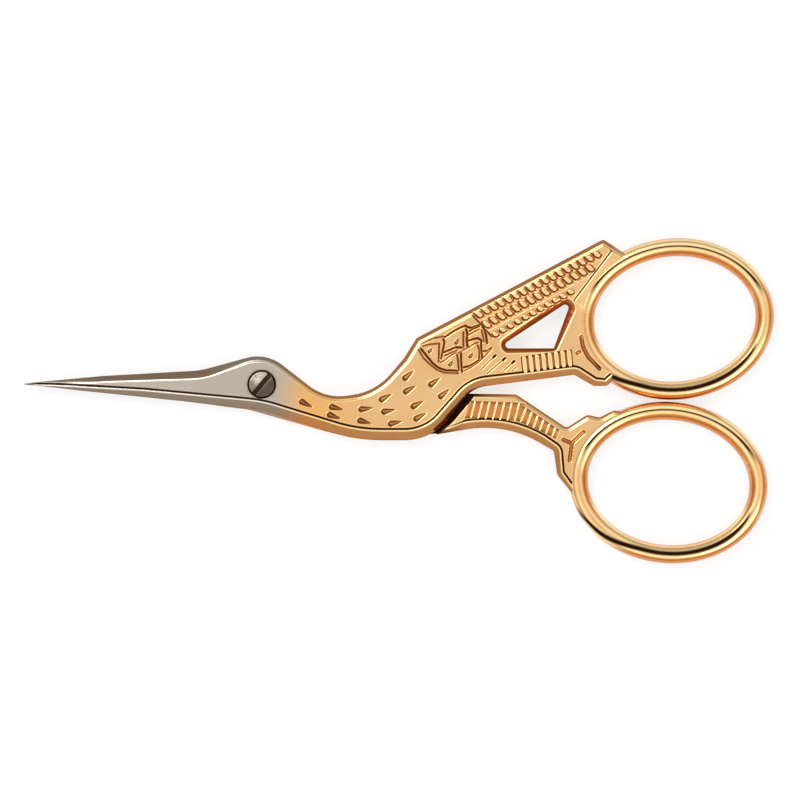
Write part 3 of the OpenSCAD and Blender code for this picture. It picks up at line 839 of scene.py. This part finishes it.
def ring_tones(me, centre, tilt, a, b, half):
    """Painted light on the polished wire: a pale painted highlight on its far side, a painted dark reflection line on
    its crest, painted brown shade on its near side.
    """
    co = np.empty(len(me.vertices) * 3, np.float32)
    me.vertices.foreach_get("co", co)
    co = co.reshape(-1, 3) / MM
    rows = oval(centre, tilt, a, b, np.arange(0, 361, 1.5))
    t = np.gradient(rows, axis=0)
    outward = np.column_stack([t[:, 1], -t[:, 0]]) / np.linalg.norm(t, axis=1)[:, None]
    near, values = Edge(np.column_stack([rows, outward, np.zeros((len(rows), 3))])).near(co[:, :2])
    q = co[:, :2] - centre
    c, s = math.cos(math.radians(tilt)), math.sin(math.radians(tilt))
    beyond = ((q[:, 0] * c + q[:, 1] * s) / a) ** 2 + ((-q[:, 0] * s + q[:, 1] * c) / b) ** 2
    off = np.sign(beyond - 1) * near / half
    south = -values[:, 1]
    lean, side, far = off * south, 1 - np.abs(south), smooth(values[:, 0] * 2)
    width = 0.07 + 0.14 * smooth((south - 0.55) / 0.4)
    strong = smooth((np.abs(south) - 0.3) / 0.3)
    middle = -0.1 + 0.5 * smooth(-values[:, 0] / 0.45 - 0.55) * (south > 0)
    # Painted dark reflection line along the crest, strongest at the top and bottom of the oval
    line = strong * smooth(1.6 - 0.9 * np.abs((lean - middle) / width))
    paint(me, "painted_shade", line)
    # Painted brown shade on the near side of the crest, and on the sides of the wire at the oval's ends
    brown_shade = np.maximum(strong * smooth((lean - middle - width - 0.24) / 0.2), side * smooth((-off - 0.2) / 0.15))
    paint(me, "ground", 0.95 * np.maximum(brown_shade, 0.85 * side * far * smooth((off - 0.15) / 0.3)))
    # Painted highlights: a glint beside the dark line, one at the right end, and a pale band on the far side
    glint = strong * np.exp(-((lean - middle - width - 0.12) / 0.06) ** 2)
    glint = np.maximum(glint, side * far * np.exp(-((off + 0.1) / 0.09) ** 2))
    paint(me, "painted_highlight", np.maximum(glint, 0.95 * strong * np.exp(-((lean + 0.5) / 0.25) ** 2)) * (1 - line))
    # Painted shade along the wire's edges
    paint(me, "painted_slope_shade", smooth((np.abs(off) - 0.84) / 0.1) * 0.8)


def context_sizes():
    return bpy.context.scene.forging_sizes


def joined(name, objects):
    """One object with the meshes of several, keeping their attributes and sharp edges."""
    bpy.ops.object.select_all(action="DESELECT")
    for o in objects:
        o.select_set(True)
        # Painted shade on the sloping shoulders of each piece that has none yet
        if "painted_slope_shade" not in o.data.attributes:
            paint_slope_shade(o.data)
    bpy.context.view_layer.objects.active = objects[0]
    bpy.ops.object.join()
    objects[0].name = objects[0].data.name = name
    return objects[0]


# Materials

class Wiring:
    """Short ways to add the commonest shader nodes to one tree; each gives the output to go on with."""

    def __init__(self, tree):
        self.nodes, self.link = tree.nodes, tree.links.new

    def fill(self, socket, value):
        if isinstance(value, (int, float)):
            socket.default_value = value
        elif isinstance(value, (tuple, list)):
            socket.default_value = (*value, 1)
        else:
            self.link(value, socket)

    def calc(self, operation, *values):
        m = self.nodes.new("ShaderNodeMath")
        m.operation = operation
        for i, value in enumerate(values):
            self.fill(m.inputs[i], value)
        return m.outputs[0]

    def mix(self, factor, a, b):
        m = self.nodes.new("ShaderNodeMix")
        m.data_type = "RGBA"
        for i, value in ((0, factor), (6, a), (7, b)):
            self.fill(m.inputs[i], value)
        return m.outputs[2]

    def ranged(self, value, low, high, to_low=0.0, to_high=1.0, soft=False):
        m = self.nodes.new("ShaderNodeMapRange")
        if soft:
            m.interpolation_type = "SMOOTHSTEP"
        for label, x in (("Value", value), ("From Min", low), ("From Max", high),
                         ("To Min", to_low), ("To Max", to_high)):
            self.fill(m.inputs[label], x)
        return m.outputs["Result"]

    def vertex(self, label):
        a = self.nodes.new("ShaderNodeAttribute")
        a.attribute_name = label
        return a.outputs["Fac"]


def polish_group():
    """Fine polishing scratches and soft clouding of plated metal: a roughness change and a height."""
    g, gi, go = new_tree("polish", "ShaderNodeTree",
                         (("Scale", "Float", 1.0), ("Roughness", "Float", 0.2), ("Spread", "Float", 0.08)),
                         (("Roughness", "Float"), ("Height", "Float"), ("Cloud", "Float")))
    w = Wiring(g)
    n, link = w.nodes, w.link
    tc = n.new("ShaderNodeTexCoord")
    cloud, fine, streak, wave = (n.new("ShaderNodeTexNoise") for _ in range(4))
    stretch = n.new("ShaderNodeMapping")
    stretch.inputs["Scale"].default_value = (0.12, 1.0, 1.0)
    stretch.inputs["Rotation"].default_value = (0, 0, 0.5)
    link(tc.outputs["Object"], stretch.inputs["Vector"])
    for node in (cloud, fine, wave):
        link(tc.outputs["Object"], node.inputs["Vector"])
    link(stretch.outputs["Vector"], streak.inputs["Vector"])
    for node, scale, detail in ((cloud, 260, 4), (fine, 5200, 3), (streak, 9000, 2), (wave, 330, 1)):
        link(w.calc("MULTIPLY", gi.outputs["Scale"], scale), node.inputs["Scale"])
        node.inputs["Detail"].default_value = detail
    mix = w.calc("ADD", w.calc("MULTIPLY", cloud.outputs[0], 0.6),
                     w.calc("MULTIPLY", streak.outputs[0], 0.4))
    centred = w.calc("SUBTRACT", mix, 0.5)
    link(w.calc("ADD", gi.outputs["Roughness"],
                    w.calc("MULTIPLY", centred, gi.outputs["Spread"])), go.inputs["Roughness"])
    scratches = w.calc("ADD", w.calc("MULTIPLY", fine.outputs[0], 0.012),
                           w.calc("MULTIPLY", streak.outputs[0], 0.014))
    link(w.calc("ADD", scratches, wave.outputs[0]), go.inputs["Height"])
    link(cloud.outputs[0], go.inputs["Cloud"])
    return g


def plating(finish):
    """Nickel on the beak and head, gilt from the neck to the rings, painted brown shade on the shoulders, painted shade
    in the cuts and painted highlights on the crests.
    """
    m = bpy.data.materials.get("gilt_and_nickel")
    if m:
        return m
    m = bpy.data.materials.new("gilt_and_nickel")
    m.use_nodes = True
    w = Wiring(m.node_tree)
    n, link = w.nodes, w.link
    b = n["Principled BSDF"]
    tc, split, wander = n.new("ShaderNodeTexCoord"), n.new("ShaderNodeSeparateXYZ"), n.new("ShaderNodeTexNoise")
    link(tc.outputs["Object"], split.inputs["Vector"])
    wander.inputs["Scale"].default_value = 180
    link(tc.outputs["Object"], wander.inputs["Vector"])
    x = w.calc("ADD", split.outputs["X"], w.calc("MULTIPLY", wander.outputs[0], 0.0016))
    gilt = w.ranged(x, 0.0020, 0.0066, soft=True)
    pale = w.ranged(x, 0.0075, 0.0135, soft=True)
    polish = n.new("ShaderNodeGroup")
    polish.node_tree = bpy.data.node_groups.get("polish") or polish_group()
    polish.inputs["Roughness"].default_value, polish.inputs["Spread"].default_value = 0.0, 0.08
    painted_shade, ground, painted_slope_shade, painted_highlight = (w.vertex(k) for k in ("painted_shade", "ground", "painted_slope_shade", "painted_highlight"))
    clouded = w.ranged(polish.outputs["Cloud"], 0.3, 0.7)
    gold = w.mix(clouded, tuple(finish.gold), tuple(c * k for c, k in zip(finish.gold, (0.93, 0.86, 0.78))))
    warm = w.mix(pale, tuple(finish.copper), gold)
    body = w.mix(gilt, tuple(finish.nickel), warm)
    # Painted shade colour for the slopes and the painted brown shade: bevel colour on the nickel, brown on the gilt
    painted_shade_colour = w.mix(gilt, tuple(finish.bevel), tuple(finish.brown_shade))
    body = w.mix(w.calc("MAXIMUM", painted_slope_shade, ground), body, painted_shade_colour)
    # Painted highlight colour
    bright = w.mix(gilt, (1.0, 0.93, 0.82), (1.0, 0.82, 0.42))
    body = w.mix(w.calc("MULTIPLY", painted_highlight, 0.85), body, bright)
    # Painted shade colour for the cuts and grooves
    dark = w.mix(gilt, (0.012, 0.008, 0.006), (0.014, 0.005, 0.002))
    body = w.mix(painted_shade, body, dark)
    link(body, b.inputs["Base Color"])
    b.inputs["Metallic"].default_value = 1.0
    rough = w.calc("ADD", w.ranged(gilt, 0, 1, finish.nickel_roughness, finish.gold_roughness),
                       polish.outputs["Roughness"])
    rough = w.calc("ADD", rough, w.calc("MULTIPLY", painted_shade, 0.3))
    link(rough, b.inputs["Roughness"])
    bump = n.new("ShaderNodeBump")
    bump.inputs["Strength"].default_value, bump.inputs["Distance"].default_value = 0.5, 0.00012
    link(polish.outputs["Height"], bump.inputs["Height"])
    link(bump.outputs["Normal"], b.inputs["Normal"])
    return m


def screw_steel(finish):
    """Turned steel of the screw: rings from the lathe, dull dark patches, painted shade towards its lower right and
    painted shade in its slot.
    """
    m = bpy.data.materials.new("screw_steel")
    m.use_nodes = True
    w = Wiring(m.node_tree)
    n, link = w.nodes, w.link
    b = n["Principled BSDF"]
    tc, polish, rings, spots = (n.new(k) for k in ("ShaderNodeTexCoord", "ShaderNodeGroup", "ShaderNodeTexWave",
                                                   "ShaderNodeTexNoise"))
    polish.node_tree = bpy.data.node_groups.get("polish") or polish_group()
    polish.inputs["Scale"].default_value = 1.6
    polish.inputs["Roughness"].default_value, polish.inputs["Spread"].default_value = 0.28, 0.25
    rings.wave_type, rings.rings_direction = "RINGS", "Z"
    rings.inputs["Scale"].default_value = 1400
    rings.inputs["Distortion"].default_value = 1.5
    link(tc.outputs["Object"], rings.inputs["Vector"])
    spots.inputs["Scale"].default_value, spots.inputs["Detail"].default_value = 620, 4
    link(tc.outputs["Object"], spots.inputs["Vector"])
    patch = w.ranged(spots.outputs[0], 0.38, 0.62, soft=True)
    colour = w.mix(patch, tuple(finish.screw), tuple(c * 0.45 for c in finish.screw))
    split = n.new("ShaderNodeSeparateXYZ")
    link(tc.outputs["Object"], split.inputs["Vector"])
    # Painted shade: darker towards the lower right of the head
    slant = w.calc("SUBTRACT", split.outputs["X"], split.outputs["Y"])
    colour = w.mix(w.ranged(slant, -0.0012, 0.001, 0, 0.95, soft=True), colour, (0.075, 0.05, 0.036))
    # Painted shade in the slot and round the rim
    colour = w.mix(w.calc("MULTIPLY", w.vertex("painted_shade"), 0.95), colour, (0.02, 0.012, 0.008))
    link(colour, b.inputs["Base Color"])
    b.inputs["Metallic"].default_value = 1.0
    link(polish.outputs["Roughness"], b.inputs["Roughness"])
    bump = n.new("ShaderNodeBump")
    bump.inputs["Strength"].default_value, bump.inputs["Distance"].default_value = 0.35, 0.00003
    link(w.calc("ADD", rings.outputs["Fac"], polish.outputs["Height"]), bump.inputs["Height"])
    link(bump.outputs["Normal"], b.inputs["Normal"])
    return m


# Sizes, colours and light that a user would change

def millimetres(name, description, default, low, high):
    return FloatProperty(name=name, description=description + ", mm", default=default, min=low, max=high)


def tint(name, description, default):
    return FloatVectorProperty(name=name, description=description, subtype="COLOR", size=3, default=default,
                               min=0, max=1)


def gloss(name, description, default):
    return FloatProperty(name=name, description=description, subtype="FACTOR", default=default, min=0.02, max=0.8)


class ForgingSizes(bpy.types.PropertyGroup):
    """Sizes of the edges, rings and ornament"""
    bevel_width: millimetres("Ground bevel", "Width of the bevel along the cutting edge", 0.95, 0.5, 1.5)
    spine_width: millimetres("Spine", "Width of the rounded spine along the belly", 1.35, 0.8, 1.8)
    rim_width: millimetres("Rim", "Width of the rim along the back", 0.56, 0.3, 0.9)
    window_slope: millimetres("Window slope", "Width of the slope round the window", 0.8, 0.2, 1.0)
    ring_length: millimetres("Ring length", "Inner length of the finger rings", 19.3, 18.0, 20.0)
    ring_height: millimetres("Ring height", "Inner height of the finger rings", 14.9, 14.0, 15.5)
    ring_band: millimetres("Ring band", "Width of the ring wire from the face", 2.2, 1.8, 2.4)
    ring_depth: millimetres("Ring depth", "Depth of the ring wire", 2.7, 2.2, 2.8)
    mark_depth: millimetres("Mark depth", "Depth of the incised ornament", 0.16, 0.05, 0.3)
    upper_ribs: IntProperty(name="Upper ribs", description="Ribs on the upper leg", default=8, min=4, max=10)
    lower_ribs: IntProperty(name="Lower ribs", description="Ribs on the straight stretch of the lower leg",
                            default=7, min=4, max=9)


class MetalFinish(bpy.types.PropertyGroup):
    """Colours and polish of the metals"""
    gold: tint("Gold", "Colour of the gilt", (0.86, 0.55, 0.26))
    copper: tint("Neck gold", "Warmer gilt of the neck", (0.88, 0.47, 0.165))
    # Painted shade colour of the slopes and brown shade on the gilt
    brown_shade: tint("Shoulders", "Gilt on the sloping shoulders", (0.66, 0.235, 0.06))
    nickel: tint("Nickel", "Colour of the beak and head", (0.48, 0.415, 0.345))
    # Painted shade colour of the bevel and slopes on the nickel
    bevel: tint("Bevel", "Colour of the ground bevel", (0.36, 0.25, 0.16))
    screw: tint("Screw", "Colour of the screw", (0.50, 0.42, 0.35))
    gold_roughness: gloss("Gold roughness", "Roughness of the gilt", 0.16)
    nickel_roughness: gloss("Nickel roughness", "Roughness of the nickel", 0.24)


class StudioSettings(bpy.types.PropertyGroup):
    """Light and floor"""
    sky: FloatProperty(name="Sky", description="Brightness of the overhead softbox", default=1.0, min=0, max=4)
    key: FloatProperty(name="Key light", description="Power of the key light, W", default=2.0, min=0, max=50)
    floor: tint("Floor", "Colour of the floor", (0.85, 0.85, 0.85))


def forging(name, lower, upper, ring, base, up, holes, marks, taper, height, drop=0.0, lines=(), shade=()):
    """One plate of a half, from its corner table to the finished relief."""
    fine = FINE_FACE if up else FINE_BACK
    low, arc, top = clipped(lower, upper, *ring)
    outer = np.vstack([low[:-1], arc[:-1], top[:-1]])
    edges = [Edge(low), Edge(top)] + [Edge(np.vstack([h, h[:1]])) for h in holes if h[0, 2] > 0]
    arc_edge = Edge(arc)
    crest = HALF + (1 if up else -1) * context_sizes().ring_depth / 2
    crest = abs(crest - base) - drop

    def level(q):
        z, painted_shade, ground, painted_highlight = edge_level(q, edges, height, taper)
        z = z + (min(crest, height) - height) * (1 - smooth(arc_edge.near(q)[0] / 1.4))
        # Painted shade and painted brown shade of the ornament, on the flat face only
        depth, dark, brown_shade = marks(q)
        flat = smooth((z - height + 0.45) / 0.25)
        painted_shade = np.clip(np.maximum(painted_shade, dark * flat), 0, 1)
        return z - depth * flat, painted_shade, np.maximum(ground, brown_shade * flat), painted_highlight

    plate = Plate(outer, holes, level, base, up, fine, shade)
    extra = beside(edges, [outer] + holes)
    if lines:
        extra.append(line_samples(lines, np.vstack(extra + [lp[:, :2] for lp in [outer] + holes])))
    return new_object(name, plate.mesh(name, extra))


def hole(radius, count):
    """A round hole on the pivot axis, its edge left plain."""
    circle = oval((0, 0), 0, radius, radius, np.linspace(360, 0, count, endpoint=False))
    return np.column_stack([circle, np.zeros((count, 5))])


def tail_end(q):
    """Drop of the face beyond the end of the tail, where it runs into the ring."""
    a, b = np.array(TAIL_END)
    t = (b - a) / np.linalg.norm(b - a)
    over, on = (q - a) @ np.array([t[1], -t[0]]), (q - a) @ t
    return 0.05 * smooth(over / 0.15) * smooth((on + 0.3) / 0.5)


class SCISSORS_OT_front_half(bpy.types.Operator):
    """Front half: lower blade of the beak, neck, body, tail, upper leg and upper ring"""
    bl_idname = "scissors.front_half"
    bl_label = "Front half"

    def execute(self, context):
        sizes = context.scene.forging_sizes
        metal = plating(context.scene.metal_finish)
        window = spaced(rounded(WINDOW), 0.12, closed=True)[::-1]
        ring = (UPPER_CENTRE, UPPER_TILT, sizes)

        thick, thin = feather_lines()
        shield_lines = [[on_shield(*p) for p in line] for _, _, *line in SHIELD]
        seeds = [(*on_shield(x, y), turn) for x, y, turn in SEEDS]
        tips = [[tuple(np.array(b) - 0.3 * (np.array(b) - a) / math.dist(a, b)), b] for a, b in HATCHES[:3]]

        def rows(q):
            return deepest(feather_cuts(q, 0.15), bed(q, UPPER_RIBS, 0.42, 0.13, 0.6, 0.9))

        def face_marks(q):
            d = sizes.mark_depth
            hatches = np.maximum(strokes(q, HATCHES, 0.1, 0.7 * d), strokes(q, tips, 0.17, d))
            # Each cut carries its painted shade and painted brown shade; the line at the tail's end is a painted dark
            # line
            cut, dark, brown_shade = deepest(
                drops_on_neck(q, d), toned(drop_marks(q, seeds, 0.85, 0.46, 1.1 * d), d, 0.75, 0.8),
                shield_cuts(q, 1.1 * d), rows(q), toned(hatches, d, 1.2),
                toned(strokes(q, KNUCKLE, 0.25, 1.4 * d), d, 0.4, 0.65),
                toned(strokes(q, [TAIL_END], 0.14, 0.12), 0.12, 1.0))
            return cut + tail_end(q), dark, brown_shade

        height = HALF - INNER_GAP / 2
        # The shade line on the front face marks where painted shadow falls beside the tail's step
        face = forging("front_face", FRONT_LOWER, FRONT_UPPER, ring, HALF + INNER_GAP / 2, True,
                       [window, hole(HEAD_SEAT, 72)], face_marks, BLADE_TAPER, height,
                       lines=shield_lines + HATCHES + thick + thin + [TAIL_END],
                       shade=[[TAIL_ROOT[0][:2], TAIL_TOP[0][:2]]])
        back = forging("front_back", TAIL_ROOT + FRONT_LOWER[6:], FRONT_UPPER[:5] + TAIL_TOP, ring, HALF + 0.3, False,
                       [window], rows, None, HALF + 0.3 - STEP, 0.25, lines=thick + thin)
        seat = new_object("screw_seat", recess_mesh("screw_seat", HALF + INNER_GAP / 2, TOTAL - 0.02))
        for o in (face, back, seat):
            o.data.materials.append(metal)
        half = joined("front_forging", [face, back, seat])
        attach(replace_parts(half, "front_half"), "front")
        wire = joined("front_ring", [finger_ring("upper_ring", UPPER_CENTRE, UPPER_TILT, metal)])
        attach(wire, "front")
        made = []
        for side, up, z in (("face", True, TOTAL), ("back", False, STEP)):
            sink = -1 if up else 1
            rib = pillow("rib", 2 * UPPER_RIBS[2], 0.6, 0.13, up)
            made.append(along("upper_ribs_" + side, UPPER_RIBS, z + sink * 0.13, rib, sizes.upper_ribs, metal))
            for i, (first, last, start, end, half, count) in enumerate(FEATHER_ROWS):
                run = (tail_point(start, first), tail_point(end, last), 1, 1, 0)
                feather = pillow("feather", 1.7 * half, 0.54, 0.07, up, 0.6, FEATHER_LEAN, 0)
                made.append(along(f"feathers_{side}_{i}", run, z + sink * 0.02, feather, count, metal))
        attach(joined("front_ornament", made), "front")
        return {"FINISHED"}


def turned(name, n, profile, capped=False):
    """Mesh turned about the pivot axis from a profile of radius and height, capped at both ends if asked."""
    verts, faces = [], []
    for r, z in profile:
        verts += [(r * math.cos(2 * math.pi * i / n) * MM, r * math.sin(2 * math.pi * i / n) * MM, z * MM)
                  for i in range(n)]
    for k in range(len(profile) - 1):
        faces += [(k * n + i, (k + 1) * n + i, (k + 1) * n + (i + 1) % n, k * n + (i + 1) % n) for i in range(n)]
    if capped:
        faces += [tuple(range(n)), tuple(range(len(verts) - 1, len(verts) - n - 1, -1))]
    me = bpy.data.meshes.new(name)
    me.from_pydata(verts, [], faces)
    return me


def recess_mesh(name, bottom, top):
    """Walls and floor of the recess for the screw head and of the bore below it."""
    n = 72
    me = turned(name, n, ((HEAD_SEAT, top), (HEAD_SEAT, SEAT_FLOOR), (SHANK_HOLE, SEAT_FLOOR),
                          (SHANK_HOLE, bottom), (HEAD_SEAT, bottom)))
    # Painted shade on the walls and floor of the recess
    paint(me, "painted_shade", [0.9] * (3 * n) + [0] * (2 * n))
    return me


class SCISSORS_OT_rear_half(bpy.types.Operator):
    """Rear half: upper blade of the beak, neck, body, lower leg and lower ring"""
    bl_idname = "scissors.rear_half"
    bl_label = "Rear half"

    def execute(self, context):
        sizes = context.scene.forging_sizes
        metal = plating(context.scene.metal_finish)
        ring = (LOWER_CENTRE, LOWER_TILT, sizes)

        def leg_marks(q):
            d = sizes.mark_depth
            # The beds and knuckle carry painted shade and painted brown shade
            return deepest(bed(q, LOWER_RIBS_A, 0.72, 0.14, 0.08, 0.62), bed(q, LOWER_RIBS_B, 0.6, 0.14, 0.08, 0.62),
                           toned(strokes(q, LOWER_KNUCKLE, 0.24, 1.4 * d), d, 0.4, 0.65))

        def back_marks(q):
            return deepest(leg_marks(q), drops_on_neck(q, sizes.mark_depth))

        # The shade line on the back marks where painted shadow falls beside the lower leg's step
        back = forging("rear_back", REAR_LOWER, REAR_UPPER, ring, HALF - INNER_GAP / 2, False, [hole(THREAD_HOLE, 36)],
                       back_marks, BLADE_TAPER, HALF - INNER_GAP / 2, shade=[[c[:2] for c in LEG_ROOT]])
        face = forging("rear_face", REAR_LOWER[5:], REAR_UPPER[:6] + LEG_ROOT, ring, HALF - 0.3, True, [], leg_marks,
                       None, HALF + 0.3 - STEP, 0.25)
        for o in (back, face):
            o.data.materials.append(metal)
        half = joined("rear_forging", [back, face, finger_ring("lower_ring", LOWER_CENTRE, LOWER_TILT, metal)])
        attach(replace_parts(half, "rear_half"), "rear")
        made = []
        for side, up, z in (("face", True, TOTAL - STEP), ("back", False, 0)):
            for i, (run, count) in enumerate(((LOWER_RIBS_A, sizes.lower_ribs), (LOWER_RIBS_B, 6))):
                rib = pillow("rib", 2 * run[2], 0.3, 0.14, up)
                made.append(along(f"lower_ribs_{side}_{i}", run, z + (-0.14 if up else 0.14), rib, count, metal))
        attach(joined("rear_ornament", made), "rear")
        return {"FINISHED"}


class SCISSORS_OT_pivot_screw(bpy.types.Operator):
    """Slotted pivot screw that makes the bird's eye"""
    bl_idname = "scissors.pivot_screw"
    bl_label = "Pivot screw"

    def execute(self, context):
        metal = screw_steel(context.scene.metal_finish)
        top, r, turn = TOTAL + 0.06, SCREW_HEAD, SLOT_TURN
        rim = hole(r, 90)[::-1]

        def level(q):
            d = np.hypot(q[:, 0], q[:, 1])
            across = np.abs(-q[:, 0] * math.sin(turn) + q[:, 1] * math.cos(turn))
            dome = 0.06 * (d / r) ** 2 + 0.12 * smooth((d - r + 0.16) / 0.16) ** 1.5
            slot = smooth((0.3 - across) / 0.06)
            z = 0.79 - dome - slot * (0.42 - dome)
            # Painted shade in the slot and round the rim of the head
            return z, np.clip(slot + 0.7 * smooth((d - r + 0.12) / 0.1), 0, 1), *np.zeros((2, len(q)))

        s = np.arange(-1.5, 1.5, 0.05)
        c_turn, s_turn = math.cos(turn), math.sin(turn)
        lines = [np.column_stack([s * c_turn - off * s_turn, s * s_turn + off * c_turn])
                 for k in (0.235, 0.255, 0.27, 0.285, 0.31) for off in (-k, k)]
        lines = [c[far_from(c, rim[:, :2], 0.04)] for c in lines]
        face = Plate(rim, [], level, top - 0.79, True, 0.05)
        head = new_object("pivot_screw_head", face.mesh("pivot_screw_head", lines))
        profile = ((SHANK, top - 0.7), (SHANK, HALF - 0.02), (THREAD, HALF - 0.02), (THREAD, 0.15), (0.74, 0.03))
        shank = new_object("pivot_screw_shank", turned("pivot_screw_shank", 48, profile, capped=True))
        for o in (head, shank):
            o.data.materials.append(metal)
        o = joined("pivot_screw_turned", [head, shank])
        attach(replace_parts(o, "pivot_screw"), "rear")
        return {"FINISHED"}


class SCISSORS_OT_studio(bpy.types.Operator):
    """Pale floor, soft light and the camera that looks straight down"""
    bl_idname = "scissors.studio"
    bl_label = "Studio"

    def execute(self, context):
        scene, look = context.scene, context.scene.studio_settings
        me = bpy.data.meshes.new("floor")
        me.from_pydata([(x, y, -0.02 * MM) for x, y in ((-3, -3), (3, -3), (3, 3), (-3, 3))], [], [(0, 1, 2, 3)])
        floor = new_object("floor", me)
        m = bpy.data.materials.new("floor")
        m.use_nodes = True
        w = Wiring(m.node_tree)
        n, link = w.nodes, w.link
        b = n["Principled BSDF"]
        b.inputs["Base Color"].default_value = (*look.floor, 1)
        b.inputs["Roughness"].default_value = 0.9
        b.inputs["Specular IOR Level"].default_value = 0.1
        path, glow, mix = n.new("ShaderNodeLightPath"), n.new("ShaderNodeEmission"), n.new("ShaderNodeMixShader")
        seen = w.calc("MAXIMUM", path.outputs["Is Camera Ray"],
                          w.calc("MAXIMUM", path.outputs["Is Glossy Ray"], path.outputs["Is Transmission Ray"]))
        link(w.calc("MULTIPLY", seen, 0.72), mix.inputs["Fac"])
        link(b.outputs[0], mix.inputs[1])
        link(glow.outputs[0], mix.inputs[2])
        link(mix.outputs[0], n["Material Output"].inputs["Surface"])
        me.materials.append(m)

        world = bpy.data.worlds.new("studio")
        scene.world = world
        world.use_nodes = True
        w = Wiring(world.node_tree)
        n, link = w.nodes, w.link
        tc, split, ramp = n.new("ShaderNodeTexCoord"), n.new("ShaderNodeSeparateXYZ"), n.new("ShaderNodeValToRGB")
        link(tc.outputs["Generated"], split.inputs["Vector"])
        link(split.outputs["Z"], ramp.inputs["Fac"])
        stops = ((0.0, 0.5), (0.3, 0.62), (0.55, 0.8), (0.75, 1.35), (0.93, 1.3), (0.985, 0.95))
        while len(ramp.color_ramp.elements) < len(stops):
            ramp.color_ramp.elements.new(0.5)
        for e, (p, v) in zip(ramp.color_ramp.elements, stops):
            e.position, e.color = p, (v, v, v, 1)
        back = n["Background"]
        link(ramp.outputs["Color"], back.inputs["Color"])
        link(w.calc("MULTIPLY_ADD", split.outputs["Y"], -0.2 * look.sky, look.sky), back.inputs["Strength"])

        for name, place, size, power in (("key", (-0.25, 0.28, 0.55), 0.3, look.key),
                                         ("fill", (0.35, -0.3, 0.5), 0.4, look.key * 0.5)):
            light = bpy.data.lights.new(name, "AREA")
            light.energy, light.size = power, size
            o = bpy.data.objects.new(name, light)
            scene.collection.objects.link(o)
            o.location = place
            o.rotation_euler = (Vector((0.016, 0, 0)) - Vector(place)).to_track_quat("-Z", "Y").to_euler()

        cam = bpy.data.cameras.new("camera")
        o = bpy.data.objects.new("camera", cam)
        scene.collection.objects.link(o)
        # Half the picture is 400 pixels of 0.1192 mm on the table
        distance, half_picture = 1.0, 400 * 0.1192 * MM
        cam.sensor_width = 36
        cam.lens = cam.sensor_width / 2 * distance / half_picture
        cam.clip_start, cam.clip_end = 0.05, 20
        o.location = (16.49 * MM, -1.87 * MM, distance + TOTAL * MM)
        scene.camera = o
        scene.view_settings.view_transform = "Standard"
        return {"FINISHED"}


class SCISSORS_PT_panel(bpy.types.Panel):
    bl_idname = "SCISSORS_PT_panel"
    bl_label = "Stork scissors"
    bl_space_type = "VIEW_3D"
    bl_region_type = "UI"
    bl_category = "Scissors"

    def draw(self, context):
        for group in ("forging_sizes", "metal_finish", "studio_settings"):
            settings = getattr(context.scene, group)
            for prop in settings.bl_rna.properties:
                if prop.identifier not in ("rna_type", "name"):
                    self.layout.prop(settings, prop.identifier)
        for op in OPERATORS:
            self.layout.operator(op.bl_idname)


OPERATORS = (SCISSORS_OT_front_half, SCISSORS_OT_rear_half, SCISSORS_OT_pivot_screw, SCISSORS_OT_studio)
CLASSES = (ForgingSizes, MetalFinish, StudioSettings, *OPERATORS, SCISSORS_PT_panel)


def register():
    for c in CLASSES:
        bpy.utils.register_class(c)
    bpy.types.Scene.forging_sizes = PointerProperty(type=ForgingSizes)
    bpy.types.Scene.metal_finish = PointerProperty(type=MetalFinish)
    bpy.types.Scene.studio_settings = PointerProperty(type=StudioSettings)


def unregister():
    del bpy.types.Scene.forging_sizes, bpy.types.Scene.metal_finish, bpy.types.Scene.studio_settings
    for c in reversed(CLASSES):
        bpy.utils.unregister_class(c)


def main():
    register()
    bpy.ops.scissors.front_half()
    bpy.ops.scissors.rear_half()
    bpy.ops.scissors.pivot_screw()
    bpy.ops.scissors.studio()


if __name__ == "__main__":
    main()
